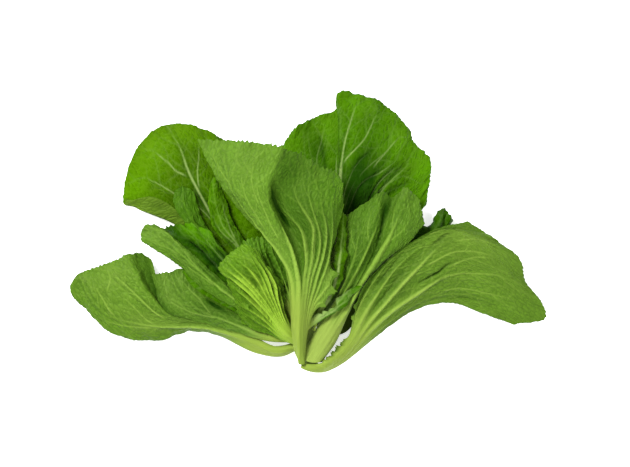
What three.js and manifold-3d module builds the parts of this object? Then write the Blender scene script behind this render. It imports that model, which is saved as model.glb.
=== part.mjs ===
// Mustard greens: a fresh head lying on its side, its leaves spread like a fan on the table.
//
// Frame, in millimetres: +Z up from the table, +Y from the cut stem towards the leaf tips, +X to the
// right when the head is seen from above with its stem towards the viewer. The origin is under the
// middle of the whole head.
// The head is one short stem with its leaves round it. Each leaf is one solid: a thick stalk that
// flattens and fans out into a thin blade. The leaves are laid down one after another, and each is
// lifted just enough to rest on those below.

import * as THREE from "three";
import { mergeVertices } from "three/addons/utils/BufferGeometryUtils.js";
import Module from "manifold-3d";

const wasm = await Module();
wasm.setup();

// Driving dimensions, in millimetres.
const BLADE_THICKNESS = 1.2;
const STALK_EDGE = 0.45; // a stalk's edge is this share of its middle
const STEM_RADIUS = 8.5;
const STEM_CUT = [2, -136, STEM_RADIUS];
const STEM_LENGTH = 38;
const LAYER_GAP = 0.7; // clear height between one leaf and the next
const PILE_CELL = 1.5; // the pile's height is kept on a square grid of this spacing
const STEEPEST_LIFT = 0.55; // how fast a leaf's lift can fall away, as height over distance

// Each leaf is a sheet through lines that run from the stem to its outer margin, the left margin first
// and the right one last, as seen from the stem. The points are [x, y, height above the table].
// stalk is the thickness at the stem, and blade the share of the length at which the stalk has become
// blade. The leaves are listed from the bottom of the pile to its top.
const LEAVES = {
  back_left_leaf: {
    stalk: 4,
    blade: 0.45,
    lines: [
      [
        [-15, -97, 7], [-48, -66, 9], [-80, -29, 13], [-108, 0, 15], [-132, 21, 16], [-154, 33, 15],
        [-181, 29, 9],
      ],
      [
        [-15.5, -98, 5], [-50, -70, 5], [-84, -34, 6], [-112, -5, 8], [-142, 10, 9], [-168, 20, 8],
        [-184, 27, 5],
      ],
      [
        [-15, -98, 3], [-48, -67, 3], [-80, -28, 3], [-106, 5, 4], [-133, 26, 4], [-158, 40, 3],
        [-182, 52, 2],
      ],
      [
        [-14, -97, 3], [-46, -64, 3], [-77, -22, 4], [-102, 14, 6], [-128, 42, 8], [-150, 63, 6],
        [-173, 78, 2],
      ],
      [
        [-13.5, -96, 3], [-45, -62, 3], [-74, -18, 4], [-97, 16, 7], [-115, 47, 10], [-132, 77, 9],
        [-155, 99, 2],
      ],
      [
        [-13, -95, 3], [-43, -60, 3], [-71, -15, 4], [-92, 20, 7], [-106, 50, 11], [-119, 80, 9],
        [-133, 107, 2],
      ],
      [
        [-12.5, -94, 3], [-41, -58, 3], [-66, -12, 4], [-80, 22, 6], [-91, 52, 8], [-98, 78, 7],
        [-106, 102, 2],
      ],
      [
        [-12, -93, 4], [-33, -56, 4], [-42, -12, 6], [-48, 16, 8], [-60, 42, 8], [-72, 65, 6],
        [-80, 88, 2],
      ],
    ],
  },
  back_right_leaf: {
    stalk: 4.5,
    blade: 0.45,
    lines: [
      [[2.5, -96.3, 5], [5, -50, 5], [5, -5, 5], [-4, 35, 5], [-17, 60, 4], [-27, 82, 2]],
      [[4.5, -96.3, 4], [10, -50, 4], [14, -5, 6], [10, 35, 9], [0, 72, 8], [-12, 102, 2]],
      [[6.5, -96.2, 3.5], [14.5, -50, 4], [20, -5, 7], [22, 38, 12], [18, 78, 11], [9, 113, 2]],
      [[8.5, -96, 3.5], [19.5, -50, 4], [27, -2, 7], [30, 48, 12], [30, 86, 12], [28, 121, 3]],
      [[10, -96, 3.5], [22, -50, 4], [30, 0, 7], [33, 60, 14], [33, 100, 14], [32, 138, 8]],
      [[11.3, -96, 3.5], [24, -50, 4], [33, 0, 7], [40, 62, 14], [46, 102, 13], [48, 136, 4]],
      [[12.3, -96, 3.5], [27, -50, 4], [40, 0, 7], [50, 60, 13], [62, 95, 12], [74, 127, 2]],
      [[13, -95.5, 3.5], [31, -52, 4], [49, -4, 7], [65, 48, 11], [84, 76, 9], [101, 100, 2]],
      [[13, -95.8, 3.8], [32.5, -53.5, 4], [53, -7, 6], [71, 42, 10], [90, 67, 8], [106, 86, 2]],
      [[13, -96, 4], [34, -55, 4], [57, -10, 5], [79, 35, 8], [101, 56, 6], [121, 72, 2]],
      [[13, -97, 5], [37, -58, 5], [63, -19, 5], [87, 5, 4], [105, 13, 3], [118, 26, 2]],
    ],
  },
  dark_right_leaf: {
    stalk: 3,
    blade: 0.4,
    rows: 10,
    columns: 6,
    lines: [
      [[13, -103, 4], [40, -66, 4], [72, -25, 5], [103, 0, 6], [122, 6, 7], [131, 16, 8]],
      [[13, -105, 4], [43, -84, 4], [83, -39, 7], [112, -11, 10], [130, 5, 12], [136, 21, 9]],
      [
        [13, -107, 4], [37, -102, 4], [54, -82, 4], [88, -46, 5], [118, -18, 6], [137, -2, 7],
        [144, 9, 8],
      ],
    ],
  },
  narrow_leaf: {
    stalk: 3,
    blade: 0.4,
    rows: 10,
    columns: 6,
    lines: [
      [
        [-15, -99, 8], [-45, -70, 7], [-80, -34, 8], [-110, -6, 10], [-126, 12, 11], [-134, 28, 10],
        [-133, 40, 10],
      ],
      [
        [-15, -98, 9], [-44, -68, 9], [-77, -32, 11], [-103, -4, 14], [-117, 13, 17],
        [-124, 29, 17], [-125, 44, 12],
      ],
      [
        [-15, -97, 8], [-43, -66, 7], [-73, -31, 8], [-94, -6, 11], [-105, 10, 12], [-110, 26, 12],
        [-114, 38, 11],
      ],
    ],
  },
  inner_left_leaf: {
    stalk: 3,
    blade: 0.4,
    rows: 12,
    columns: 6,
    lines: [
      [
        [-13, -93, 9], [-36, -68, 9], [-62, -38, 10], [-82, -12, 12], [-94, 2, 12], [-98, 18, 12],
        [-99, 34, 11], [-97, 49, 10],
      ],
      [
        [-13, -92, 10], [-35, -66, 11], [-57, -36, 13], [-72, -12, 15], [-84, 4, 16], [-90, 20, 16],
        [-93, 35, 15], [-94, 52, 11],
      ],
      [
        [-13, -91, 9], [-33, -64, 9], [-50, -35, 10], [-62, -13, 12], [-70, 0, 12], [-77, 13, 12],
        [-80, 25, 12], [-88, 47, 11],
      ],
    ],
  },
  crinkled_leaf: {
    stalk: 3,
    blade: 0.4,
    rows: 12,
    columns: 10,
    lines: [
      [[-15, -104, 10], [-45, -83, 10], [-75, -62, 11], [-105, -36, 12], [-130, -13, 12], [-144, 1, 9]],
      [[-15, -103, 11], [-44, -80, 11], [-72, -56, 14], [-98, -30, 17], [-118, -10, 17], [-131, 4, 12]],
      [[-15, -102, 11], [-43, -77, 11], [-70, -51, 16], [-90, -27, 21], [-105, -9, 21], [-118, 5, 14]],
      [[-15, -101, 11], [-42, -74, 11], [-66, -48, 15], [-83, -25, 18], [-94, -10, 18], [-104, 0, 14]],
      [[-15, -100, 10], [-41, -72, 10], [-62, -47, 12], [-76, -30, 13], [-85, -20, 13], [-92, -11, 12]],
    ],
  },
  far_left_leaf: {
    stalk: 6,
    blade: 0.45,
    lines: [
      [
        [-8, -116, 8], [-27, -125, 5], [-52, -122, 4], [-90, -105, 5], [-118, -102, 5],
        [-150, -110, 5], [-193, -104, 4], [-234, -68, 1],
      ],
      [
        [-8, -115, 10], [-28, -122, 8], [-55, -115, 7], [-92, -102, 9], [-124, -99, 11],
        [-160, -100, 11], [-200, -90, 8], [-238, -56, 1],
      ],
      [
        [-8, -114, 11], [-30, -120, 10], [-57, -110, 10], [-100, -98, 12], [-150, -96, 14],
        [-190, -84, 12], [-215, -66, 8], [-228, -43, 2],
      ],
      [
        [-8, -113.5, 11], [-32, -118.5, 10], [-58, -107, 10], [-104, -94, 14], [-147, -87, 17],
        [-172, -68, 17], [-191, -50, 12], [-207, -36, 4],
      ],
      [
        [-8, -113, 11], [-34, -118, 9], [-60, -104, 10], [-104, -91, 15], [-138, -83, 19],
        [-158, -63, 20], [-170, -44, 18], [-180, -25, 11],
      ],
      [
        [-8, -112.5, 10], [-35, -117.5, 8], [-61, -102, 9], [-102, -88, 14], [-134, -80, 16],
        [-152, -66, 14], [-161, -48, 12], [-167, -23, 10],
      ],
      [
        [-8, -112, 9], [-36, -117, 6], [-62, -100, 8], [-100, -85, 14], [-130, -77, 17],
        [-144.5, -65, 17], [-151, -47, 17], [-157, -29, 14],
      ],
    ],
  },
  second_left_leaf: {
    stalk: 4,
    blade: 0.4,
    lines: [
      [
        [-8, -111, 11], [-40, -110, 13], [-77, -100, 15], [-117, -90, 15], [-142.5, -79, 15],
        [-156, -44.5, 13],
      ],
      [
        [-8, -110, 12], [-40, -107, 15], [-77, -95, 18], [-112, -83, 20], [-134, -66, 20],
        [-143, -43, 16],
      ],
      [
        [-8, -109, 12], [-40, -104, 15], [-76, -88, 19], [-106, -74, 22], [-124, -58, 22],
        [-134, -41, 18],
      ],
      [[-8, -108, 12], [-41, -100, 15], [-75, -80, 19], [-98, -66, 22], [-113, -53, 22], [-125, -38, 18]],
      [
        [-8, -107.5, 12], [-41, -98, 16], [-72, -75, 20], [-94, -62, 23], [-109, -49, 24],
        [-122, -37, 20],
      ],
      [[-8, -107, 13], [-41, -99, 18], [-73, -81, 23], [-96, -68, 26], [-114, -56, 27], [-124, -42, 23]],
    ],
  },
  long_left_leaf: {
    stalk: 4,
    blade: 0.4,
    lines: [
      [
        [-8, -105, 13], [-40, -94, 17], [-72, -77, 20], [-104, -58, 22], [-127, -36, 22],
        [-150, -20, 20], [-165, -11, 15],
      ],
      [
        [-8, -104, 14], [-40, -91, 20], [-70, -73, 24], [-98, -53, 27], [-123, -30, 28],
        [-144, -12, 24], [-166, -2, 16],
      ],
      [
        [-8, -103, 14], [-40, -88, 20], [-68, -69, 25], [-94, -48, 29], [-119, -25, 30],
        [-139, -5, 26], [-160, 6, 17],
      ],
      [
        [-8, -102, 13], [-40, -86, 18], [-66, -66, 22], [-90, -46, 26], [-115, -23, 28],
        [-133, -7, 25], [-152, 6, 17],
      ],
    ],
  },
  wrinkled_leaf: {
    stalk: 3,
    blade: 0.4,
    rows: 10,
    columns: 8,
    lines: [
      [[-11, -96, 13], [-30, -70, 14], [-48, -45, 16], [-60, -25, 18], [-65, -12, 17]],
      [[-10, -95, 14], [-27, -66, 17], [-42, -40, 21], [-50, -23, 23], [-55, -9, 20]],
      [[-9, -94, 14], [-23, -64, 17], [-34, -42, 20], [-41, -26, 22], [-46, -8, 19]],
      [[-8, -93, 13], [-12, -64, 14], [-15, -48, 16], [-21, -32, 17], [-28, -17, 17]],
    ],
  },
  inner_right_leaf: {
    stalk: 6,
    blade: 0.5,
    lines: [
      [
        [-3.5, -125, 19.5], [-2, -117.5, 20], [4, -108, 19], [14, -86, 19], [26, -62, 21],
        [33, -30, 24], [37, 13, 22],
      ],
      [[-2.2, -129.2, 21.5], [7, -109, 22], [20, -86, 23], [33, -60, 26], [45, -25, 29], [58, 28, 26]],
      [[0.8, -130.8, 22.5], [12, -110, 23], [26, -86, 25], [41, -60, 28], [57, -25, 32], [75, 38, 29]],
      [[4.5, -131.4, 23.5], [17, -110, 23], [31, -86, 25], [48, -57, 27], [68, -18, 27], [84, 32, 22]],
      [[8, -131.1, 23], [21, -110, 21], [35, -85, 23], [54, -52, 28], [79, -7, 31], [93, 42, 28]],
      [[11.3, -130, 21.5], [24, -111, 19], [38, -83, 22], [62, -44, 27], [92, -6, 31], [107, 34, 27]],
      [[14, -127.3, 19], [26, -112, 15], [41, -80, 19], [68, -40, 25], [98, -15, 27], [116, 7, 24]],
    ],
  },
  frilly_leaf: {
    stalk: 2.5,
    blade: 0.3,
    rows: 10,
    columns: 4,
    lines: [
      [
        [5, -99, 23], [8.5, -83, 24.5], [17, -66, 26], [24, -48, 29], [28, -20, 31],
        [31, 13, 28],
      ],
      [
        [6, -99.5, 23.5], [10.5, -83.5, 25], [20.5, -66.5, 27.5], [28, -50, 30],
        [32.5, -21, 32], [35, 16, 28.5],
      ],
      [
        [7, -100, 23.5], [12.5, -84, 25], [24, -67, 27.5], [32, -52, 29.5], [37, -23, 31],
        [38, 12, 27.5],
      ],
    ],
  },
  right_leaf: {
    stalk: 6,
    blade: 0.45,
    lines: [
      [
        [-5.7, -133.8, 21], [-2.8, -133.7, 22], [4, -134.8, 22], [12, -134.2, 20.5], [20, -131, 18],
        [36.5, -116.5, 17], [44.5, -93, 21], [54, -57.5, 26], [92, -19, 29], [127, 1, 27], [159, 9, 18],
      ],
      [
        [-5.7, -133.9, 21.3], [-2.8, -134.2, 22.5], [4, -135.1, 23], [12, -134.2, 21.5], [20, -131.8, 20],
        [39, -112, 18], [53, -71, 24], [80, -33, 29], [117, -7, 31], [146, 1, 28], [190, -11, 15],
      ],
      [
        [-5.8, -134, 21.3], [-2.8, -134.7, 22.5], [4, -135.8, 23], [12, -135.2, 21.5], [20, -133.3, 19],
        [40, -114, 18], [61, -76, 24], [92, -37, 28], [132, -14, 31], [166, -13, 27], [211, -29, 12],
      ],
      [
        [-5.8, -134.1, 21.3], [-2.8, -135.3, 22.3], [4, -136.6, 22.5], [12, -136.4, 20.5], [20, -134.7, 17],
        [40, -118, 16], [65, -83, 21], [100, -47, 26], [140, -27, 29], [179, -30, 24], [217, -51, 9],
      ],
      [
        [-5.9, -134.2, 21], [-2.8, -135.8, 21.5], [4, -137.4, 21.3], [12, -137.5, 19], [20, -136, 15],
        [39, -121.5, 13], [67, -90, 17], [104, -59, 21], [144, -43, 23], [184, -48, 17], [232, -70, 4],
      ],
      [
        [-5.9, -134.3, 20.5], [-2.8, -136.3, 20.5], [4, -138.2, 19.8], [12, -138.7, 16.5], [20, -137.2, 12],
        [38, -126, 10], [68, -99, 12], [104, -72, 14], [144, -59, 15], [186, -68, 10], [237, -87, 1],
      ],
      [
        [-5.9, -134.4, 20], [-2.8, -136.8, 19.5], [4, -138.9, 18], [12, -139.7, 13], [21, -138.3, 9],
        [37, -130, 6], [67, -107, 7], [102, -82, 8], [142, -72, 8], [172, -82, 5], [206, -94, 1],
      ],
    ],
  },
  small_front_leaf: {
    stalk: 4,
    blade: 0.4,
    lines: [
      [[-8, -114, 15], [-25, -110, 19], [-41, -103, 21], [-55, -98, 21], [-66, -93, 18]],
      [[-8, -113, 17], [-26, -106, 22], [-42, -96, 25], [-58, -85, 25], [-72, -74, 22]],
      [[-8, -112.5, 17], [-26, -102, 24], [-42, -86, 29], [-62, -66, 31], [-81, -50, 27]],
      [[-8, -112, 18], [-25, -99, 26], [-41, -78, 33], [-63, -54, 36], [-88, -37, 30]],
      [[-8, -111.5, 18], [-24, -97, 26], [-38, -74, 34], [-56, -48, 38], [-79, -25, 32]],
      [[-8, -111, 18], [-23, -95, 26], [-34, -72, 34], [-46, -46, 38], [-63, -15, 33]],
      [[-8, -110.5, 17], [-21, -94, 25], [-30, -72, 32], [-38, -50, 35], [-52, -19, 32]],
      [[-8, -110, 16], [-19, -93, 22], [-25, -74, 27], [-28, -58, 29], [-35, -42, 27]],
      [[-8, -109, 14], [-18, -94, 18], [-21.5, -80, 21], [-22.5, -66, 22], [-24, -50, 20]],
    ],
  },
  centre_leaf: {
    stalk: 6,
    blade: 0.5,
    rows: 16,
    columns: 16,
    lines: [
      [
        [-7.3, -130.7, 20], [-13, -119, 24], [-15, -104, 28], [-17, -71, 33], [-22, -41, 36],
        [-35, -17, 38], [-62, 13, 38], [-90, 50, 37], [-109, 88, 33],
      ],
      [
        [-7, -131.3, 21.5], [-12, -104, 31], [-13.5, -74, 37], [-17, -44, 41], [-29, -21, 45],
        [-51, 9, 48], [-76, 46, 49], [-83, 88, 43],
      ],
      [
        [-6.7, -131.7, 22.5], [-10.5, -104, 33], [-11, -74, 39], [-12, -47, 43], [-21, -22, 48],
        [-40, 9, 53], [-56, 46, 57], [-54, 86, 50],
      ],
      [
        [-6.4, -132, 23], [-9, -104, 34], [-8.5, -74, 40], [-9, -49, 44], [-15, -24, 48],
        [-32, 11, 54], [-40, 39, 58], [-27, 81, 54],
      ],
      [
        [-6.1, -132.1, 23.5], [-8, -104, 34], [-6.5, -74, 40], [-6, -50, 43], [-8, -27, 42],
        [-18, -1, 41], [-33, 33, 42], [-31, 53, 53], [-21, 78, 52.5],
      ],
      [
        [-5.8, -132.1, 23.5], [-6.5, -104, 34], [-4, -74, 40], [-2, -51, 44], [0, -27, 46],
        [-4, -5, 46], [-18, 26, 46], [-7, 74, 47],
      ],
      [
        [-5.5, -131.9, 23], [-5, -104, 33], [-1, -74, 39], [4, -51, 43], [11, -27, 47],
        [12, -4, 49], [4, 31, 50], [12, 62, 45],
      ],
      [
        [-5.2, -131.5, 22.5], [-3.5, -104, 31], [3, -77, 37], [11, -53, 40], [20, -27, 43],
        [24, -4, 45], [25, 31, 45], [31, 54, 40],
      ],
      [
        [-5, -130.9, 21.5], [-4.3, -115, 26], [-2.7, -104, 29], [6, -81, 35], [18, -69, 38],
        [24, -50, 38], [23, -31, 38], [28, -5, 38], [36, 25, 37],
      ],
    ],
    lobe: {
      stalk: 2.2,
      blade: 0.4,
      rows: 8,
      columns: 4,
      lines: [
        [[-6, -107.5, 30], [1, -98, 29], [12, -90, 29.5], [26, -81, 31], [38, -74, 31.5], [46, -63, 29]],
        [[-6, -103.5, 30.5], [1, -93, 30], [12, -84, 31], [25, -75, 32.5], [38, -66, 33], [51, -57, 30]],
        [[-6, -99.5, 30], [2, -88, 29], [13, -79, 30], [28, -70, 31.5], [38, -61, 32], [47, -55, 29.5]],
      ],
    },
  },
};

const clampedIndex = (index, length) => Math.min(Math.max(index, 0), length - 1);

// A leaf's middle sheet: rows of points from the stem to the outer margin, columns from left to right.
function sheetThrough(lines, rows, columns) {
  const smooth = (points) => new THREE.CatmullRomCurve3(points, false, "centripetal");
  const along = lines.map((line) => smooth(line.map((p) => new THREE.Vector3(...p))).getSpacedPoints(rows));
  return Array.from({ length: rows + 1 }, (_, i) => {
    const across = smooth(along.map((line) => line[i]));
    return Array.from({ length: columns + 1 }, (_, j) => across.getPoint(j / columns));
  });
}

function normalAt(sheet, i, j) {
  const at = (a, b) => sheet[clampedIndex(a, sheet.length)][clampedIndex(b, sheet[0].length)];
  const outwards = new THREE.Vector3().subVectors(at(i + 1, j), at(i - 1, j));
  const across = new THREE.Vector3().subVectors(at(i, j + 1), at(i, j - 1));
  return across.cross(outwards).normalize();
}

// How thick a leaf is, from its stalk (along = 0) to its outer margin, and from side to side.
function thicknessAt(stalk, blade, along, across) {
  const fade = 1 - THREE.MathUtils.smoothstep(along, 0.25 * blade, blade);
  const crown = STALK_EDGE + (1 - STALK_EDGE) * Math.sqrt(1 - (2 * across - 1) ** 2);
  return BLADE_THICKNESS + (stalk - BLADE_THICKNESS) * fade * crown;
}

// The vertices of the leaf's two faces: first the face along the sheet's normals, then the other.
function faceVertices(sheet, stalk, blade) {
  const rows = sheet.length - 1;
  const columns = sheet[0].length - 1;
  return [0.5, -0.5].flatMap((share) =>
    sheet.flatMap((row, i) =>
      row.map((point, j) => {
        const offset = share * thicknessAt(stalk, blade, i / rows, j / columns);
        return point.clone().addScaledVector(normalAt(sheet, i, j), offset);
      }),
    ),
  );
}

// Triangles that close the two faces into one solid, as vertex numbers.
function solidTriangles(rows, columns) {
  const width = columns + 1;
  const layer = (rows + 1) * width;
  const triangles = [];
  const quad = (a, b, c, d) => triangles.push([a, b, c], [a, c, d]);
  for (let i = 0; i < rows; i++) {
    for (let j = 0; j < columns; j++) {
      const k = i * width + j;
      quad(k, k + 1, k + 1 + width, k + width);
      quad(layer + k, layer + k + width, layer + k + 1 + width, layer + k + 1);
    }
    const left = i * width;
    const right = left + columns;
    quad(left, left + width, layer + left + width, layer + left);
    quad(right, layer + right, layer + right + width, right + width);
  }
  for (let j = 0; j < columns; j++) {
    const far = rows * width + j;
    quad(j, layer + j, layer + j + 1, j + 1);
    quad(far, far + 1, layer + far + 1, layer + far);
  }
  return triangles;
}

// The height of everything laid down so far, over a square grid on the table.
class Pile {
  heights = new Map();

  // Calls visit(cell, height) for every grid point under the triangle.
  static under([a, b, c], visit) {
    const area = (b.x - a.x) * (c.y - a.y) - (c.x - a.x) * (b.y - a.y);
    if (Math.abs(area) < 1e-9) return;
    const first = (axis) => Math.ceil(Math.min(a[axis], b[axis], c[axis]) / PILE_CELL);
    const last = (axis) => Math.floor(Math.max(a[axis], b[axis], c[axis]) / PILE_CELL);
    for (let row = first("y"); row <= last("y"); row++) {
      for (let column = first("x"); column <= last("x"); column++) {
        const x = column * PILE_CELL;
        const y = row * PILE_CELL;
        const shareB = ((x - a.x) * (c.y - a.y) - (c.x - a.x) * (y - a.y)) / area;
        const shareC = ((b.x - a.x) * (y - a.y) - (x - a.x) * (b.y - a.y)) / area;
        if (shareB < 0 || shareC < 0 || shareB + shareC > 1) continue;
        visit(`${column},${row}`, a.z + shareB * (b.z - a.z) + shareC * (c.z - a.z));
      }
    }
  }

  lay(vertices, triangles) {
    for (const triangle of triangles) {
      Pile.under(triangle.map((v) => vertices[v]), (cell, height) => {
        this.heights.set(cell, Math.max(height, this.heights.get(cell) ?? 0));
      });
    }
  }

  // How far each vertex has to rise for the solid to clear the pile.
  shortfall(vertices, triangles) {
    const needed = new Float64Array(vertices.length);
    for (const triangle of triangles) {
      Pile.under(triangle.map((v) => vertices[v]), (cell, height) => {
        if (!this.heights.has(cell)) return;
        const short = this.heights.get(cell) + LAYER_GAP - height;
        for (const v of triangle) needed[v] = Math.max(needed[v], short);
      });
    }
    return needed;
  }
}

// Lets the lift fall away no faster than STEEPEST_LIFT from one point of the sheet to the next.
function spreadLift(sheet, lift) {
  const steps = [[0, 1], [1, 0], [0, -1], [-1, 0]];
  for (let pass = 0; pass < sheet.length + sheet[0].length; pass++) {
    for (let i = 0; i < sheet.length; i++) {
      for (let j = 0; j < sheet[0].length; j++) {
        for (const [di, dj] of steps) {
          const neighbour = sheet[i + di]?.[j + dj];
          if (!neighbour) continue;
          const distance = Math.hypot(neighbour.x - sheet[i][j].x, neighbour.y - sheet[i][j].y);
          lift[i][j] = Math.max(lift[i][j], lift[i + di][j + dj] - STEEPEST_LIFT * distance);
        }
      }
    }
  }
}

// Lifts a leaf's sheet until the leaf lies clear on the pile.
function settle(sheet, stalk, blade, triangles, pile) {
  const columns = sheet[0].length;
  for (let pass = 0; pass < 12; pass++) {
    const vertices = faceVertices(sheet, stalk, blade);
    const needed = pile.shortfall(vertices, triangles);
    if (Math.max(...needed) < 0.05) return;
    const lift = sheet.map((row, i) =>
      row.map((_, j) => {
        const v = i * columns + j;
        return Math.max(needed[v], needed[v + vertices.length / 2]);
      }),
    );
    spreadLift(sheet, lift);
    sheet.forEach((row, i) => row.forEach((point, j) => (point.z += lift[i][j])));
  }
}

function toGeometry(vertices, triangles) {
  const geometry = new THREE.BufferGeometry().setFromPoints(vertices);
  geometry.setIndex(triangles.flat());
  return geometry;
}

function toManifold(geometry) {
  const merged = mergeVertices(geometry, 1e-4);
  const mesh = new wasm.Mesh({
    numProp: 3,
    vertProperties: merged.attributes.position.array,
    triVerts: new Uint32Array(merged.index.array),
  });
  return new wasm.Manifold(mesh);
}

function fromManifold(solid) {
  const mesh = solid.getMesh();
  const geometry = new THREE.BufferGeometry();
  geometry.setAttribute("position", new THREE.BufferAttribute(mesh.vertProperties, 3));
  geometry.setIndex(new THREE.BufferAttribute(mesh.triVerts, 1));
  return geometry;
}

// The solid of one settled sheet.
function settledSolid(lines, { stalk, blade, rows = 14, columns = 12 }, pile) {
  const sheet = sheetThrough(lines, rows, columns);
  const triangles = solidTriangles(rows, columns);
  settle(sheet, stalk, blade, triangles, pile);
  return { vertices: faceVertices(sheet, stalk, blade), triangles };
}

function layLeaf(leaf, pile) {
  const lobe = leaf.lobe && settledSolid(leaf.lobe.lines, leaf.lobe, pile);
  const blade = settledSolid(leaf.lines, leaf, pile);
  pile.lay(blade.vertices, blade.triangles);
  const geometry = toGeometry(blade.vertices, blade.triangles);
  if (!lobe) return geometry;
  return fromManifold(toManifold(geometry).add(toManifold(toGeometry(lobe.vertices, lobe.triangles))));
}

function stemGeometry() {
  const profile = [
    [0, 0],
    [0.97, 0],
    [1, 0.03],
    [0.92, 0.45],
    [0.66, 0.8],
    [0.3, 0.96],
    [0, 1],
  ].map(([radius, length]) => new THREE.Vector2(radius * STEM_RADIUS, length * STEM_LENGTH));
  return new THREE.LatheGeometry(profile, 20).translate(...STEM_CUT);
}

const bladeGreen = new THREE.MeshStandardMaterial({ color: 0x5f9a2a, roughness: 0.55, metalness: 0 });
const stemGreen = new THREE.MeshStandardMaterial({ color: 0xb9d08a, roughness: 0.5, metalness: 0 });

function namedMesh(name, geometry, material) {
  geometry.computeVertexNormals();
  const mesh = new THREE.Mesh(geometry, material);
  mesh.name = name;
  return mesh;
}

const head = new THREE.Group();
const pile = new Pile();

const stem = mergeVertices(stemGeometry().deleteAttribute("normal").deleteAttribute("uv"), 1e-4);
const stemPoints = Array.from({ length: stem.attributes.position.count }, (_, v) =>
  new THREE.Vector3().fromBufferAttribute(stem.attributes.position, v),
);
const stemTriangles = Array.from({ length: stem.index.count / 3 }, (_, t) =>
  [0, 1, 2].map((corner) => stem.index.getX(3 * t + corner)),
);
pile.lay(stemPoints, stemTriangles);
head.add(namedMesh("stem_base", stem, stemGreen));

for (const [name, leaf] of Object.entries(LEAVES)) {
  head.add(namedMesh(name, layLeaf(leaf, pile), bladeGreen));
}

// The origin is on the table, under the middle of the head.
const box = new THREE.Box3().setFromObject(head);
const middle = box.getCenter(new THREE.Vector3());
head.position.set(-middle.x, -middle.y, -box.min.z);

export default head;
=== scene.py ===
"""A fresh head of mustard greens on its side: ribbed, crinkled leaves grown round a short cut stem.

Every leaf is a sheet drawn through a few given lines that run from the stem to its outer margin.
Its ribs and veins, the folds between the ribs, the puckers, ruffles and teeth are then grown on that
sheet as geometry. The leaves are laid down one after another, and each is lifted just enough to rest on
those below. Lengths are in millimetres until a mesh is made.
"""

import math

import bpy
import numpy as np
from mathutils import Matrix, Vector


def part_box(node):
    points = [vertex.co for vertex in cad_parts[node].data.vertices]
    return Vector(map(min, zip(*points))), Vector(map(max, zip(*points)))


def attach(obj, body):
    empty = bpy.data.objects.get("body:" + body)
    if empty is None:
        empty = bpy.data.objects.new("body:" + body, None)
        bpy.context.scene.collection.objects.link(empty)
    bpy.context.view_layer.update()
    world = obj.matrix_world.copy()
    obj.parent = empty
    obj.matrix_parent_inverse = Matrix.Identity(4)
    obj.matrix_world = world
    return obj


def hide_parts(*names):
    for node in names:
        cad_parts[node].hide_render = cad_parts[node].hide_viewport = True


bl_info = {
    "name": "Mustard greens",
    "version": (1, 0, 0),
    "blender": (4, 5, 0),
    "location": "3D View > Sidebar > Greens",
    "description": "Grows a head of mustard greens on its side, and the stage around it",
    "category": "Add Mesh",
}

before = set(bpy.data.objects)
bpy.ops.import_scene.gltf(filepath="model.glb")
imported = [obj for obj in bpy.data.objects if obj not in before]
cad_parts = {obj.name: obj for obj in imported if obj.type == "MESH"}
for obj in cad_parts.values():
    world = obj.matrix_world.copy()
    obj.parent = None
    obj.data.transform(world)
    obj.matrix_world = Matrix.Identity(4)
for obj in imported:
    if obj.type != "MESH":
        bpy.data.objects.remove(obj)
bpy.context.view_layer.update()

MM = 0.001
STEM_CUT = (2.0, -136.0)  # middle of the stem's cut end in the drawing that the leaves' lines are set in
STEM_LOW, STEM_HIGH = (np.array(corner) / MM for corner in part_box("stem_base"))
SHIFT = np.array([(STEM_LOW[0] + STEM_HIGH[0]) / 2 - STEM_CUT[0], STEM_LOW[1] - STEM_CUT[1], 0.0])

BACK_UP = 1.0  # the leaf lies with its ribbed back up
FACE_UP = -1.0  # the leaf lies with its smooth face up

LATTICE = 61  # how many random values noise repeats after
FINELY = 40  # how many points a smooth curve gets for each of its knots
LAYER_GAP = 0.25  # clear height between one leaf and the next
STEEPEST_LIFT = 0.6  # how fast a leaf's lift can fall away, as height over distance
STALK_EDGE = 0.45  # a stalk's edge is this share of its middle
MARGIN_EDGE = 0.45  # a blade's margin is this share of its thickness
MARGIN_TAPER = 2.0  # how far from its margin a blade thins
SIDE_TEETH = 0.35  # teeth on a leaf's sides are this share of those at its tip
TOOTH_SPACING = 5.0
LOBE_SPACING = 15.0  # the spacing of the broader lobes under the teeth
LONG_WAVE, SHORT_WAVE = 21.0, 7.5  # the lengths of a margin's ruffles
RIBS_PART = (0.18, 0.42)  # between these shares of a leaf's length its ribs part from the stalk
VEIN_REACH = 6.0  # how far from a vein the blade still feels it
VEIN_STEP = 1.5  # how far a vein grows at a time
VEIN_BEND = 0.03  # how far it turns back to its parent's direction each time, in radians
# The veins that grow from the listed ones, and the finer net that grows from both. Turn is in radians.
SIDE_VEINS = {"spacing": 15.0, "turn": 0.7, "length": 42.0, "height": 0.3, "width": 0.6, "pale": 0.24}
NET_VEINS = {"spacing": 7.5, "turn": 1.15, "length": 12.0, "height": 0.14, "width": 0.55, "pale": 0.13}
FACE_FINENESS = 0.65  # on a leaf's face, the pale lines along ribs and veins are this much narrower
FACE_FAINTNESS = 0.45  # and those of the veins grown between them this much fainter
NO_TONE_OR_SHADING = [(0, 0), (1, 0)]
LOBE_SEED = 400  # added to a leaf's seed for the second of its two blades

STEM_RINGS = 126
STEM_SIDES = 96
STEM_PROFILE = (  # (share of the radius, share of the length) from the middle of the cut to the crown
    (0.0, 0.012), (0.3, 0.010), (0.55, 0.004), (0.72, 0.012), (0.86, 0.004), (0.95, 0.006), (1.0, 0.03),
    (1.0, 0.10), (0.95, 0.14), (0.99, 0.17), (0.98, 0.26), (0.92, 0.30), (0.95, 0.34), (0.92, 0.45),
    (0.86, 0.62), (0.8, 0.82), (0.64, 0.97), (0.3, 1.05), (0.0, 1.07),
)

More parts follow.
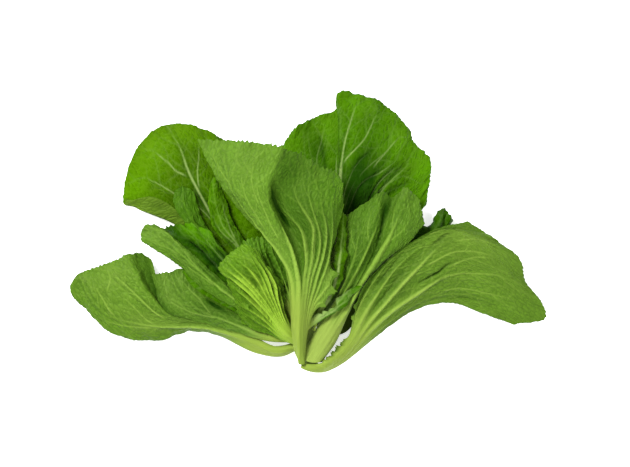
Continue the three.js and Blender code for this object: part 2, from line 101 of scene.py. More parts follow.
WHITE = (1.0, 1.0, 1.0, 1.0)
WOOD = (0.62, 0.68, 0.36, 1.0)
PITH = (0.76, 0.78, 0.55, 1.0)
CUT_RIM = (0.42, 0.36, 0.16, 1.0)
FACE_SHEEN = (0.25, 0.31, 0.03, 1.0)
BACK_SHEEN = (0.8, 1.0, 0.35, 1.0)
THROUGH_TINT = (1.0, 1.0, 0.45, 1.0)
LIGHT_THROUGH = 0.14  # the share of light that a blade lets through

# The stage, in metres.
CAMERA_HEIGHT = 3.5
VIEW_WIDTH = 0.63  # how much of the floor the camera sees, left to right
VIEW_CENTRE = (7.518 * MM, -1.805 * MM)
FLOOR_REACH = 4.0
FLOOR_GLOW = 0.6
SKY_STRENGTH = 0.48
LAMPS = (  # name, place, width, share of the lamp power
    ("key_lamp", (-1.2, 1.0, 1.9), 1.0, 1.0),
    ("fill_lamp", (1.7, -0.4, 1.5), 1.6, 0.3),
    ("front_lamp", (-0.3, -1.9, 1.4), 1.6, 0.2),
)

LENGTH = {"unit": "LENGTH", "subtype": "DISTANCE", "precision": 5}
COLOUR = {"subtype": "COLOR", "min": 0.0, "max": 1.0}

# The settings of each leaf, bottom of the pile first.
#   side: which side is up. step: the spacing of the mesh. stalk: its thickness at the stem.
#   blade: the share of the leaf's length at which the stalk has become blade.
#   lines: the left margin first and the right one last, as seen from the stem. A point is (x, y, height).
#   ribs: (path, strength) or (path, strength, share where it fades). A path is a line number, or a list
#     of (share of the length, line number): (0.5, 2.3) is halfway along, a third of the way from line 2
#     to line 3.
#   reach: the share over which ribs rise, and the share where those fade that don't say where.
#   gaps: how much the blade arches before the first rib, between each two, and after the last.
#   flute: how deep those arches are. They begin between the shares folds_from and flatten out between
#     the shares folds.
#   veins: (path, strength) of smaller veins. creases: (path, depth, width) of pleats. Shade is painted
#     into the arches between the ribs and along the pleats.
#   wrinkles, pucker, frill and teeth: how strong the blade's unevenness, the cushions between its veins,
#     the waves of its margins and their teeth are. Each is 1 if it isn't given.
#   fringe: (share of the length, reach, width) of small lobes on a side margin.
#   tint and stalk_tint: what the colours of the blade and of the stalk are multiplied by.
#   tone: (line number, value), and patches: (share, line number, reach in share, reach in lines,
#     value). Both make the leaf lighter above 0 and darker below it. Most of it is painted light and shade:
#     darker in shadowed folds and where other leaves cover it, lighter where light falls, with painted
#     highlights; some is the leaf's own tone. fresh: patches of young, bright blade.
#   lobe: another blade on the same stalk. What it doesn't give is as for the leaf, except for
#     tone.
LEAVES = {}
LEAVES["back_left_leaf"] = dict(
    side=FACE_UP, step=0.97, stalk=4, blade=0.45, flute=1.2, teeth=0.5, wrinkles=0.8, pucker=0.45,
    tint=(1.18, 0.97, 0.9),
    ribs=[([(0, 4.1), (0.6, 4.05), (0.7, 4.1), (0.8, 4.15), (0.84, 4.35), (0.89, 4.5), (1, 4.65)], 0.9, 1)],
    gaps=[0.3, 0.3],
    veins=[
        ([(0.755, 4.1), (0.77, 3.8), (0.8, 3.5), (0.84, 3.5), (0.9, 3.45), (0.96, 3.5)], 0.5),
        ([(0.72, 2.6), (0.79, 2.5), (0.84, 2.5), (0.93, 2.4)], 0.4),
        ([(0.69, 4.35), (0.73, 4.7), (0.77, 5), (0.83, 5.4), (0.92, 5.7)], 0.45),
        ([(0.45, 4), (0.6, 3.3), (0.72, 2.6)], 0.4),
        ([(0.5, 4.3), (0.65, 5.3), (0.8, 6.2)], 0.4),
    ],
    creases=[
        ([(0.55, 3.5), (0.66, 3.5), (0.74, 3.4)], 2, 1.6),
        ([(0.55, 3.8), (0.68, 3.85), (0.76, 3.8)], 2, 1.6),
        ([(0.73, 5.98), (0.77, 5.98)], 2, 1),
        ([(0.615, 5.98), (0.65, 5.98)], 2, 1.2),
        ([(0.49, 5.95), (0.56, 5.9)], 2.2, 1.8),
    ],
    # Painted shade: the small dark spots along line 6 are the shadows in the gaps of its crease.
    patches=[
        (0.62, 3.7, 0.1, 1.2, -0.4), (0.62, 4.6, 0.1, 0.4, -0.3), (0.95, 3.2, 0.07, 3.2, 0.3),
        (0.85, 0.8, 0.3, 0.9, 0.05), (0.97, 1.7, 0.08, 0.6, 0.3), (0.85, 0.3, 0.4, 0.6, -0.3),
        (0.75, 6, 0.02, 0.07, -1.2), (0.665, 5.86, 0.012, 0.05, -1.2), (0.635, 6, 0.018, 0.09, -1.2),
        # Painted light: the spot at share 0.56 lightens it where the centre leaf shades it.
        (0.525, 5.95, 0.028, 0.14, -1.2), (0.56, 6.4, 0.1, 0.35, 0.3), (0.68, 5.4, 0.1, 0.4, 0.15),
    ],
    fresh=[(0.95, 2.6, 0.06, 2.4, 0.3), (0.98, 5, 0.06, 1, 0.3)],
    lines=[
        [(-15, -97, 7), (-48, -66, 9), (-80, -29, 13), (-108, 0, 15), (-132, 21, 16), (-154, 33, 15),
         (-181, 29, 9)],
        [(-15.5, -98, 5), (-50, -70, 5), (-84, -34, 6), (-112, -5, 8), (-142, 10, 9), (-168, 20, 8),
         (-184, 27, 5)],
        [(-15, -98, 3), (-48, -67, 3), (-80, -28, 3), (-106, 5, 4), (-133, 26, 4), (-158, 40, 3),
         (-182, 52, 2)],
        [(-14, -97, 3), (-46, -64, 3), (-77, -22, 4), (-102, 14, 6), (-128, 42, 8), (-150, 63, 6),
         (-173, 78, 2)],
        [(-13.5, -96, 3), (-45, -62, 3), (-74, -18, 4), (-97, 16, 7), (-115, 47, 10), (-132, 77, 9),
         (-155, 99, 2)],
        [(-13, -95, 3), (-43, -60, 3), (-71, -15, 4), (-92, 20, 7), (-106, 50, 11), (-119, 80, 9),
         (-133, 107, 2)],
        [(-12.5, -94, 3), (-41, -58, 3), (-66, -12, 4), (-80, 22, 6), (-91, 52, 8), (-98, 78, 7),
         (-106, 102, 2)],
        [(-12, -93, 4), (-33, -56, 4), (-42, -12, 6), (-48, 16, 8), (-60, 42, 8), (-72, 65, 6),
         (-80, 88, 2)],
    ],
)
LEAVES["back_right_leaf"] = dict(
    side=FACE_UP, step=1, stalk=4.5, blade=0.45, flute=1.6, teeth=0.8, wrinkles=0.8, pucker=0.45,
    tint=(0.98, 0.96, 0.9),
    ribs=[([(0, 4), (0.6, 3.85), (0.66, 3.95), (0.71, 4.1), (0.76, 4.28), (0.82, 4.55)], 1.1, 1)],
    gaps=[0.3, 0.3],
    veins=[
        ([(0.69, 4.05), (0.75, 4.25), (0.81, 4.5), (0.87, 4.75), (0.98, 5.15)], 0.6),
        ([(0.69, 4.1), (0.73, 4.85), (0.77, 5.4), (0.81, 5.75), (0.86, 5.9), (0.97, 6)], 0.55),
        ([(0.6, 3.5), (0.66, 2.85), (0.72, 2.75), (0.81, 2.85)], 0.45),
        ([(0.6, 1.5), (0.74, 1.3), (0.82, 1.4), (0.86, 1.7), (0.9, 1.95), (0.97, 2.4)], 0.25),
        ([(0.52, 4.5), (0.58, 4.85), (0.64, 5.3), (0.69, 5.6), (0.73, 6), (0.79, 6.3)], 0.25),
        ([(0.45, 5.2), (0.57, 6), (0.63, 6.25), (0.7, 6.7), (0.77, 7.2), (0.84, 7.6), (0.92, 7.8)], 0.35),
        ([(0.5, 6.6), (0.63, 7.6), (0.76, 8.4), (0.88, 9)], 0.25),
        ([(0.74, 6.6), (0.83, 6.75), (0.87, 6.8), (0.96, 6.9)], 0.4),
        ([(0.4, 3), (0.6, 0.9), (0.8, 0.4)], 0.4),
        ([(0.55, 7), (0.64, 7.3), (0.72, 7.6), (0.8, 7.9), (0.9, 8.2)], 0.2),
        ([(0.6, 8), (0.7, 8.3), (0.82, 8.5), (0.93, 8.6)], 0.2),
        ([(0.66, 6.1), (0.74, 6.45), (0.82, 6.7), (0.9, 6.8)], 0.2),
        ([(0.5, 5), (0.58, 5.4), (0.66, 6.1)], 0.2),
    ],
    creases=[
        ([(0.5, 1.7), (0.7, 1.75), (0.97, 1.9)], 1.2, 1.6),
        ([(0.62, 5.1), (0.68, 5.6), (0.76, 6.15), (0.86, 6.5)], 1.7, 1.2),
        ([(0.5, 5.8), (0.62, 6.3), (0.72, 6.85), (0.82, 7.2)], 1.9, 1.2),
        ([(0.5, 6.9), (0.62, 7.3), (0.8, 7.9), (0.92, 8.1)], 1.8, 1.3),
        ([(0.5, 7.9), (0.66, 8.2), (0.84, 8.35), (0.95, 8.4)], 1.5, 1.2),
        ([(0.45, 8.6), (0.7, 9), (0.93, 9.3)], 1.3, 1.4),
        ([(0.5, 0.7), (0.95, 0.9)], 0.9, 1.8),
        ([(0.6, 4.6), (0.66, 5), (0.72, 5.45)], 1.5, 1.2),
        ([(0.8, 6.35), (0.88, 6.55), (0.96, 6.65)], 1.2, 1.1),
    ],
    # Painted shade: darker stripes along its folds.
    tone=[
        (0, 0), (0.5, -0.12), (0.9, 0.05), (1.4, -0.2), (1.9, -0.12), (2.3, 0.05), (2.8, -0.12), (3.5, 0),
        (4.5, -0.05), (5, 0.08), (5.5, -0.08), (6.1, -0.12), (6.5, 0.03), (6.9, -0.25), (7.15, 0.03),
        (7.5, -0.25), (7.8, 0), (8.1, -0.25), (8.5, -0.05), (8.8, -0.25), (9.2, 0.12), (10, 0),
    ],
    # The dark patches paint the shade low in the leaf and at its stalk; the light ones lighten it near its
    # tip.
    patches=[
        (0.57, 6, 0.13, 2, -0.85), (0.5, 7.5, 0.12, 1.6, -0.5), (0.84, 1.6, 0.06, 0.5, -0.3),
        (0.7, 2.2, 0.07, 0.5, -0.3), (0.97, 9, 0.1, 1.2, 0.3), (0.95, 2.6, 0.06, 0.8, 0.25),
        (0.93, 7, 0.07, 0.4, 0.25), (0.75, 4.9, 0.08, 0.6, 0.12), (0.96, 4.6, 0.05, 1.2, 0.2),
        (0.9, 0.3, 0.15, 0.5, 0.3), (0.02, 1.5, 0.1, 4, -0.7), (0.66, 6.5, 0.08, 1.1, -0.35),
        (0.72, 6.2, 0.1, 1.1, -0.18), (0.75, 6.4, 0.12, 1.2, -0.15),
    ],
    fresh=[
        (0.95, 2.6, 0.06, 0.9, 0.5), (0.97, 0.3, 0.1, 0.6, 0.5), (0.95, 5, 0.05, 0.8, 0.4),
        (0.94, 7, 0.06, 0.5, 0.5), (0.96, 9.1, 0.1, 1, 0.5),
    ],
    lines=[
        [(2.5, -96.3, 5), (5, -50, 5), (5, -5, 5), (-4, 35, 5), (-17, 60, 4), (-27, 82, 2)],
        [(4.5, -96.3, 4), (10, -50, 4), (14, -5, 6), (10, 35, 9), (0, 72, 8), (-12, 102, 2)],
        [(6.5, -96.2, 3.5), (14.5, -50, 4), (20, -5, 7), (22, 38, 12), (18, 78, 11), (9, 113, 2)],
        [(8.5, -96, 3.5), (19.5, -50, 4), (27, -2, 7), (30, 48, 12), (30, 86, 12), (28, 121, 3)],
        [(10, -96, 3.5), (22, -50, 4), (30, 0, 7), (33, 60, 14), (33, 100, 14), (32, 138, 8)],
        [(11.3, -96, 3.5), (24, -50, 4), (33, 0, 7), (40, 62, 14), (46, 102, 13), (48, 136, 4)],
        [(12.3, -96, 3.5), (27, -50, 4), (40, 0, 7), (50, 60, 13), (62, 95, 12), (74, 127, 2)],
        [(13, -95.5, 3.5), (31, -52, 4), (49, -4, 7), (65, 48, 11), (84, 76, 9), (101, 100, 2)],
        [(13, -95.8, 3.8), (32.5, -53.5, 4), (53, -7, 6), (71, 42, 10), (90, 67, 8), (106, 86, 2)],
        [(13, -96, 4), (34, -55, 4), (57, -10, 5), (79, 35, 8), (101, 56, 6), (121, 72, 2)],
        [(13, -97, 5), (37, -58, 5), (63, -19, 5), (87, 5, 4), (105, 13, 3), (118, 26, 2)],
    ],
)
LEAVES["dark_right_leaf"] = dict(
    # Its dark tint and the dark patch at its stalk are painted shade, for where it lies under the other
    # leaves.
    side=FACE_UP, step=0.95, stalk=3, blade=0.4, flute=1.6, frill=2, teeth=1.4, tint=(0.62, 0.7, 0.75),
    ribs=[(1, 0.6)],
    patches=[(0.15, 1.5, 0.4, 3, -1.5)],
    lines=[
        [(13, -103, 4), (40, -66, 4), (72, -25, 5), (103, 0, 6), (122, 6, 7), (131, 16, 8)],
        [(13, -105, 4), (43, -84, 4), (83, -39, 7), (112, -11, 10), (130, 5, 12), (136, 21, 9)],
        [(13, -107, 4), (37, -102, 4), (54, -82, 4), (88, -46, 5), (118, -18, 6), (137, -2, 7),
         (144, 9, 8)],
    ],
)
LEAVES["narrow_leaf"] = dict(
    side=BACK_UP, step=0.9, stalk=3, blade=0.4, flute=1.5, teeth=0.5, wrinkles=0.5, pucker=0.3,
    tint=(0.62, 0.78, 0.26),
    ribs=[([(0, 1), (0.7, 1), (1, 1)], 0.3)],
    creases=[([(0.4, 1.5), (0.65, 1.45), (0.85, 1.4)], 1.2, 2.6)],
    patches=[(0.6, 1.7, 0.2, 0.5, -0.4)],
    lines=[
        [(-15, -99, 8), (-45, -70, 7), (-80, -34, 8), (-110, -6, 10), (-126, 12, 11), (-134, 28, 10),
         (-133, 40, 10)],
        [(-15, -98, 9), (-44, -68, 9), (-77, -32, 11), (-103, -4, 14), (-117, 13, 17), (-124, 29, 17),
         (-125, 44, 12)],
        [(-15, -97, 8), (-43, -66, 7), (-73, -31, 8), (-94, -6, 11), (-105, 10, 12), (-110, 26, 12),
         (-114, 38, 11)],
    ],
)
LEAVES["inner_left_leaf"] = dict(
    side=FACE_UP, step=0.9, stalk=3, blade=0.4, flute=1.5, teeth=1.2, wrinkles=0.7, pucker=0.3,
    tint=(1.4, 1.22, 1.2),
    ribs=[([(0, 1.1), (0.5, 1.1), (0.75, 1), (1, 0.9)], 0.3, 0.8)],
    gaps=[0.4, 0.5],
    veins=[([(0.5, 1.1), (0.65, 0.6), (0.8, 0.4)], 0.2), ([(0.6, 1.1), (0.75, 1.5), (0.9, 1.6)], 0.2)],
    creases=[([(0.45, 0.3), (0.7, 0.25), (0.9, 0.3)], 1.2, 1.8)],
    patches=[(0.55, 1.7, 0.2, 0.3, -0.3)],
    lines=[
        [(-13, -93, 9), (-36, -68, 9), (-62, -38, 10), (-82, -12, 12), (-94, 2, 12), (-98, 18, 12),
         (-99, 34, 11), (-97, 49, 10)],
        [(-13, -92, 10), (-35, -66, 11), (-57, -36, 13), (-72, -12, 15), (-84, 4, 16), (-90, 20, 16),
         (-93, 35, 15), (-94, 52, 11)],
        [(-13, -91, 9), (-33, -64, 9), (-50, -35, 10), (-62, -13, 12), (-70, 0, 12), (-77, 13, 12),
         (-80, 25, 12), (-88, 47, 11)],
    ],
)
LEAVES["crinkled_leaf"] = dict(
    side=FACE_UP, step=0.9, stalk=3, blade=0.4, flute=2, frill=2.2, teeth=1.6, wrinkles=1.8,
    tint=(1.05, 1.04, 1.05),
    ribs=[
        ([(0, 1.2), (0.6, 1.2), (1, 1)], 0.5),
        ([(0, 2.4), (0.5, 2.4), (1, 2.3)], 0.9),
        ([(0, 3.4), (1, 3.3)], 0.5),
    ],
    creases=[
        ([(0.5, 0.7), (0.7, 0.8), (0.93, 0.9)], 3, 2.4),
        ([(0.45, 1.7), (0.7, 1.9), (0.86, 1.8)], 3, 2),
        ([(0.5, 2.9), (0.75, 2.9), (0.88, 2.7)], 2.5, 2),
        ([(0.7, 1.3), (0.88, 1.5)], 2, 1.6),
        ([(0.72, 2.3), (0.86, 2.2)], 1.6, 1.4),
    ],
    # The dark patches are painted shade inside its folds.
    patches=[
        (0.5, 2, 0.2, 2, -0.4), (0.97, 2.3, 0.05, 1, 0.45), (0.88, 3.5, 0.12, 0.5, 0.4),
        (0.95, 0.5, 0.1, 0.6, -0.6), (0.78, 0.9, 0.14, 0.5, -0.7), (0.66, 1.8, 0.1, 1, -0.65),
        (0.76, 2.7, 0.05, 0.4, -0.6),
    ],
    lines=[
        [(-15, -104, 10), (-45, -83, 10), (-75, -62, 11), (-105, -36, 12), (-130, -13, 12), (-144, 1, 9)],
        [(-15, -103, 11), (-44, -80, 11), (-72, -56, 14), (-98, -30, 17), (-118, -10, 17), (-131, 4, 12)],
        [(-15, -102, 11), (-43, -77, 11), (-70, -51, 16), (-90, -27, 21), (-105, -9, 21), (-118, 5, 14)],
        [(-15, -101, 11), (-42, -74, 11), (-66, -48, 15), (-83, -25, 18), (-94, -10, 18), (-104, 0, 14)],
        [(-15, -100, 10), (-41, -72, 10), (-62, -47, 12), (-76, -30, 13), (-85, -20, 13), (-92, -11, 12)],
    ],
)
LEAVES["far_left_leaf"] = dict(
    side=BACK_UP, step=0.85, stalk=6, blade=0.45, flute=1.3, tint=(1.05, 1, 0.95),
    ribs=[
        ([(0, 2), (0.5, 2.1), (0.6, 2), (0.7, 1.75), (0.8, 1.5), (0.87, 1.7), (0.93, 1.9),
          (1, 1.9)], 0.8, 0.75),
        ([(0, 3.6), (0.5, 3.5), (0.7, 3.2), (0.8, 3.2), (0.92, 3.1)], 0.6, 0.6),
        ([(0, 5), (0.6, 5)], 0.4, 0.5),
    ],
    gaps=[0.15, 0.3, 0.3, 0.3],
    veins=[
        ([(0.62, 3.1), (0.74, 3.2), (0.8, 3.25), (0.9, 3.2), (0.97, 3.1)], 0.7),
        ([(0.76, 1.7), (0.83, 2.2), (0.93, 2.4)], 0.55),
        ([(0.86, 2.3), (0.92, 2.9), (0.98, 3)], 0.35),
        ([(0.6, 2.2), (0.72, 2.7), (0.85, 2.8)], 0.35),
        ([(0.6, 1.6), (0.72, 1.1), (0.85, 0.8)], 0.4),
    ],
    creases=[([(0.42, 2.9), (0.52, 2.8)], 0.8, 0.8)],
    # Painted shade on the fold along its right side.
    tone=[(0, 0), (3.9, 0), (4.5, -0.35), (5.5, -0.5), (6, 0)],
    patches=[(0.93, 3, 0.1, 0.9, 0.15), (0.55, 2, 0.18, 1, 0.35), (0.72, 5.6, 0.14, 0.5, -0.5)],
    lines=[
        [(-8, -116, 8), (-27, -125, 5), (-52, -122, 4), (-90, -105, 5), (-118, -102, 5), (-150, -110, 5),
         (-193, -104, 4), (-234, -68, 1)],
        [(-8, -115, 10), (-28, -122, 8), (-55, -115, 7), (-92, -102, 9), (-124, -99, 11), (-160, -100, 11),
         (-200, -90, 8), (-238, -56, 1)],
        [(-8, -114, 11), (-30, -120, 10), (-57, -110, 10), (-100, -98, 12), (-150, -96, 14),
         (-190, -84, 12), (-215, -66, 8), (-228, -43, 2)],
        [(-8, -113.5, 11), (-32, -118.5, 10), (-58, -107, 10), (-104, -94, 14), (-147, -87, 17),
         (-172, -68, 17), (-191, -50, 12), (-207, -36, 4)],
        [(-8, -113, 11), (-34, -118, 9), (-60, -104, 10), (-104, -91, 15), (-138, -83, 19), (-158, -63, 20),
         (-170, -44, 18), (-180, -25, 11)],
        [(-8, -112.5, 10), (-35, -117.5, 8), (-61, -102, 9), (-102, -88, 14), (-134, -80, 16),
         (-152, -66, 14), (-161, -48, 12), (-167, -23, 10)],
        [(-8, -112, 9), (-36, -117, 6), (-62, -100, 8), (-100, -85, 14), (-130, -77, 17), (-144.5, -65, 17),
         (-151, -47, 17), (-157, -29, 14)],
    ],
)
LEAVES["second_left_leaf"] = dict(
    side=BACK_UP, step=0.85, stalk=4, blade=0.4, flute=1.3, wrinkles=1.4, tint=(0.95, 0.92, 1),
    ribs=[
        ([(0, 1.5), (0.5, 1.5), (0.8, 1.6), (1, 1.6)], 0.6, 0.7),
        ([(0, 3), (0.5, 2.9), (1, 2.6)], 0.3, 0.5),
        ([(0, 4), (0.5, 4), (0.9, 4)], 0.3, 0.5),
    ],
    gaps=[0.2, 0.4, 0.6, 0.5],
    veins=[([(0.55, 1.5), (0.7, 0.9), (0.9, 0.6)], 0.4), ([(0.6, 1.6), (0.75, 2.3), (0.95, 2.4)], 0.4)],
    creases=[
        ([(0.55, 2.5), (0.62, 2.55), (0.7, 2.65), (0.78, 2.8)], 2.4, 1.2),
        ([(0.5, 4.4), (0.85, 4.3)], 1, 1.4),
    ],
    # Painted shade: the first three dark spots are the shadow along its crease.
    patches=[
        (0.655, 2.6, 0.06, 0.22, -0.9), (0.58, 2.5, 0.06, 0.25, -0.5), (0.5, 2.9, 0.1, 0.7, -0.3),
        (0.85, 0.9, 0.16, 0.7, 0.1), (0.66, 1.9, 0.12, 0.6, -0.25), (0.8, 0, 0.13, 0.3, -0.6),
    ],
    fresh=[(0.72, 3.1, 0.2, 0.5, 0.95), (0.5, 3.4, 0.12, 0.6, 0.7)],
    lines=[
        [(-8, -111, 11), (-40, -110, 13), (-77, -100, 15), (-117, -90, 15), (-142.5, -79, 15),
         (-156, -44.5, 13)],
        [(-8, -110, 12), (-40, -107, 15), (-77, -95, 18), (-112, -83, 20), (-134, -66, 20),
         (-143, -43, 16)],
        [(-8, -109, 12), (-40, -104, 15), (-76, -88, 19), (-106, -74, 22), (-124, -58, 22),
         (-134, -41, 18)],
        [(-8, -108, 12), (-41, -100, 15), (-75, -80, 19), (-98, -66, 22), (-113, -53, 22), (-125, -38, 18)],
        [(-8, -107.5, 12), (-41, -98, 16), (-72, -75, 20), (-94, -62, 23), (-109, -49, 24),
         (-122, -37, 20)],
        [(-8, -107, 13), (-41, -99, 18), (-73, -81, 23), (-96, -68, 26), (-114, -56, 27), (-124, -42, 23)],
    ],
)
LEAVES["long_left_leaf"] = dict(
    side=BACK_UP, step=0.85, stalk=4, blade=0.4, flute=1.3, tint=(1, 1, 0.95),
    ribs=[
        ([(0, 1.5), (0.5, 1.5), (0.75, 1.4), (1, 1.3)], 0.5, 0.8),
        ([(0, 2.4), (0.5, 2.4), (0.8, 2.5)], 0.25, 0.5),
    ],
    gaps=[0.3, 0.5, 0.4],
    veins=[
        ([(0.5, 1.4), (0.65, 0.8), (0.85, 0.5)], 0.3),
        ([(0.6, 1.5), (0.75, 2.1), (0.95, 2.3)], 0.3),
        ([(0.75, 1.3), (0.85, 0.8), (0.97, 0.6)], 0.25),
    ],
    creases=[([(0.45, 2.1), (0.6, 2.1), (0.75, 2.2)], 1.4, 1.2)],
    patches=[(0.55, 2.3, 0.15, 0.6, -0.3), (0.92, 1.2, 0.12, 1.2, 0.15), (0.6, 0.2, 0.2, 0.5, -0.2)],
    fresh=[(0.5, 1.3, 0.18, 0.8, 0.35)],
    lines=[
        [(-8, -105, 13), (-40, -94, 17), (-72, -77, 20), (-104, -58, 22), (-127, -36, 22), (-150, -20, 20),
         (-165, -11, 15)],
        [(-8, -104, 14), (-40, -91, 20), (-70, -73, 24), (-98, -53, 27), (-123, -30, 28), (-144, -12, 24),
         (-166, -2, 16)],
        [(-8, -103, 14), (-40, -88, 20), (-68, -69, 25), (-94, -48, 29), (-119, -25, 30), (-139, -5, 26),
         (-160, 6, 17)],
        [(-8, -102, 13), (-40, -86, 18), (-66, -66, 22), (-90, -46, 26), (-115, -23, 28), (-133, -7, 25),
         (-152, 6, 17)],
    ],
)
LEAVES["wrinkled_leaf"] = dict(
    side=BACK_UP, step=0.8, stalk=3, blade=0.4, flute=2.6, teeth=1.5, folds=(0.8, 1.1),
    tint=(0.95, 1.02, 0.8),
    ribs=[
        (0.5, 0.7),
        ([(0, 0.9), (1, 0.9)], 0.9),
        ([(0, 1.4), (1, 1.5)], 1),
        ([(0, 1.9), (1, 2)], 1),
        ([(0, 2.4), (1, 2.5)], 1),
    ],
    gaps=[0.7, 0.8, 0.8, 0.9, 0.9, 0.8],
    creases=[
        ([(0.4, 1.15), (0.7, 1.2), (0.95, 1.2)], 1.5, 1.3),
        ([(0.4, 1.7), (0.7, 1.75), (0.95, 1.8)], 1.5, 1.3),
        ([(0.4, 2.2), (0.9, 2.25)], 1.5, 1.3),
        ([(0.4, 0.6), (0.9, 0.6)], 1.5, 1.3),
    ],
    fresh=[(0.85, 1.6, 0.3, 1.6, 0.55)],
    lines=[
        [(-11, -96, 13), (-30, -70, 14), (-48, -45, 16), (-60, -25, 18), (-65, -12, 17)],
        [(-10, -95, 14), (-27, -66, 17), (-42, -40, 21), (-50, -23, 23), (-55, -9, 20)],
        [(-9, -94, 14), (-23, -64, 17), (-34, -42, 20), (-41, -26, 22), (-46, -8, 19)],
        [(-8, -93, 13), (-12, -64, 14), (-15, -48, 16), (-21, -32, 17), (-28, -17, 17)],
    ],
)
LEAVES["inner_right_leaf"] = dict(
    side=BACK_UP, step=0.85, stalk=6, blade=0.5, flute=2, teeth=1.2, tint=(0.82, 0.87, 0.68),
    stalk_tint=(1.1, 1.08, 1.35),
    ribs=[
        ([(0, 0.8), (0.45, 1), (0.6, 1.15), (0.7, 1.2), (0.8, 1), (0.9, 0.8)], 0.9, 0.8),
        ([(0, 1.6), (0.45, 1.6), (0.55, 1.8), (0.65, 1.9), (0.72, 2), (0.8, 2.1), (0.9, 2.3)], 1, 0.95),
        ([(0, 2.6), (0.5, 2.7), (0.8, 2.8)], 0.6, 0.6),
        ([(0, 3.5), (0.45, 3.7), (0.6, 4), (0.7, 4.2), (0.8, 4.3), (0.92, 4.5)], 1.8, 0.95),
        ([(0, 5.2), (0.6, 5.2)], 0.4, 0.5),
    ],
    gaps=[0.3, 0.6, 0.7, 0.8, 0.2, 0.2],
    veins=[
        ([(0.7, 1.1), (0.8, 0.6), (0.92, 0.4)], 0.35),
        ([(0.72, 1.95), (0.8, 1.6), (0.93, 1.5)], 0.45),
        ([(0.7, 4.2), (0.8, 4.9), (0.9, 5.2)], 0.4),
        ([(0.75, 4.25), (0.85, 3.9), (0.95, 3.8)], 0.35),
    ],
    creases=[([(0.68, 2.9), (0.8, 2.8), (0.9, 2.7), (0.98, 2.6)], 2, 2)],
    tone=[(0, -0.08), (3, -0.04), (3.6, 0.06), (6, 0.06)],
    # Painted shade: the first dark spot lies along its crease, the last on the shaded right side of its
    # stalk.
    patches=[
        (0.93, 2.7, 0.07, 0.4, -0.8), (0.5, 1, 0.12, 1.5, -0.3), (0.7, 2.8, 0.15, 0.6, -0.3),
        (0.08, 5.7, 0.2, 1, -0.55),
    ],
    lines=[
        [(-3.5, -125, 19.5), (-2, -117.5, 20), (4, -108, 19), (14, -86, 19), (26, -62, 21), (33, -30, 24),
         (37, 13, 22)],
        [(-2.2, -129.2, 21.5), (7, -109, 22), (20, -86, 23), (33, -60, 26), (45, -25, 29), (58, 28, 26)],
        [(0.8, -130.8, 22.5), (12, -110, 23), (26, -86, 25), (41, -60, 28), (57, -25, 32), (75, 38, 29)],
        [(4.5, -131.4, 23.5), (17, -110, 23), (31, -86, 25), (48, -57, 27), (68, -18, 27), (84, 32, 22)],
        [(8, -131.1, 23), (21, -110, 21), (35, -85, 23), (54, -52, 28), (79, -7, 31), (93, 42, 28)],
        [(11.3, -130, 21.5), (24, -111, 19), (38, -83, 22), (62, -44, 27), (92, -6, 31), (107, 34, 27)],
        [(14, -127.3, 19), (26, -112, 15), (41, -80, 19), (68, -40, 25), (98, -15, 27), (116, 7, 24)],
    ],
)
LEAVES["frilly_leaf"] = dict(
    side=FACE_UP, step=0.8, stalk=2.5, blade=0.3, flute=1.6, frill=1.4, teeth=1.5, tint=(1.1, 0.95, 1),
    ribs=[(1, 0.6)],
    fringe=dict(
        left=[(0.35, 2, 2), (0.47, 3.5, 3), (0.6, 2, 2.5), (0.75, 2.5, 3)],
        right=[(0.5, 1.5, 2.5), (0.7, 2, 3)],
    ),
    lines=[
        [(5, -99, 23), (8.5, -83, 24.5), (17, -66, 26), (24, -48, 29), (28, -20, 31), (31, 13, 28)],
        [(6, -99.5, 23.5), (10.5, -83.5, 25), (20.5, -66.5, 27.5), (28, -50, 30), (32.5, -21, 32),
         (35, 16, 28.5)],
        [(7, -100, 23.5), (12.5, -84, 25), (24, -67, 27.5), (32, -52, 29.5), (37, -23, 31), (38, 12, 27.5)],
    ],
)
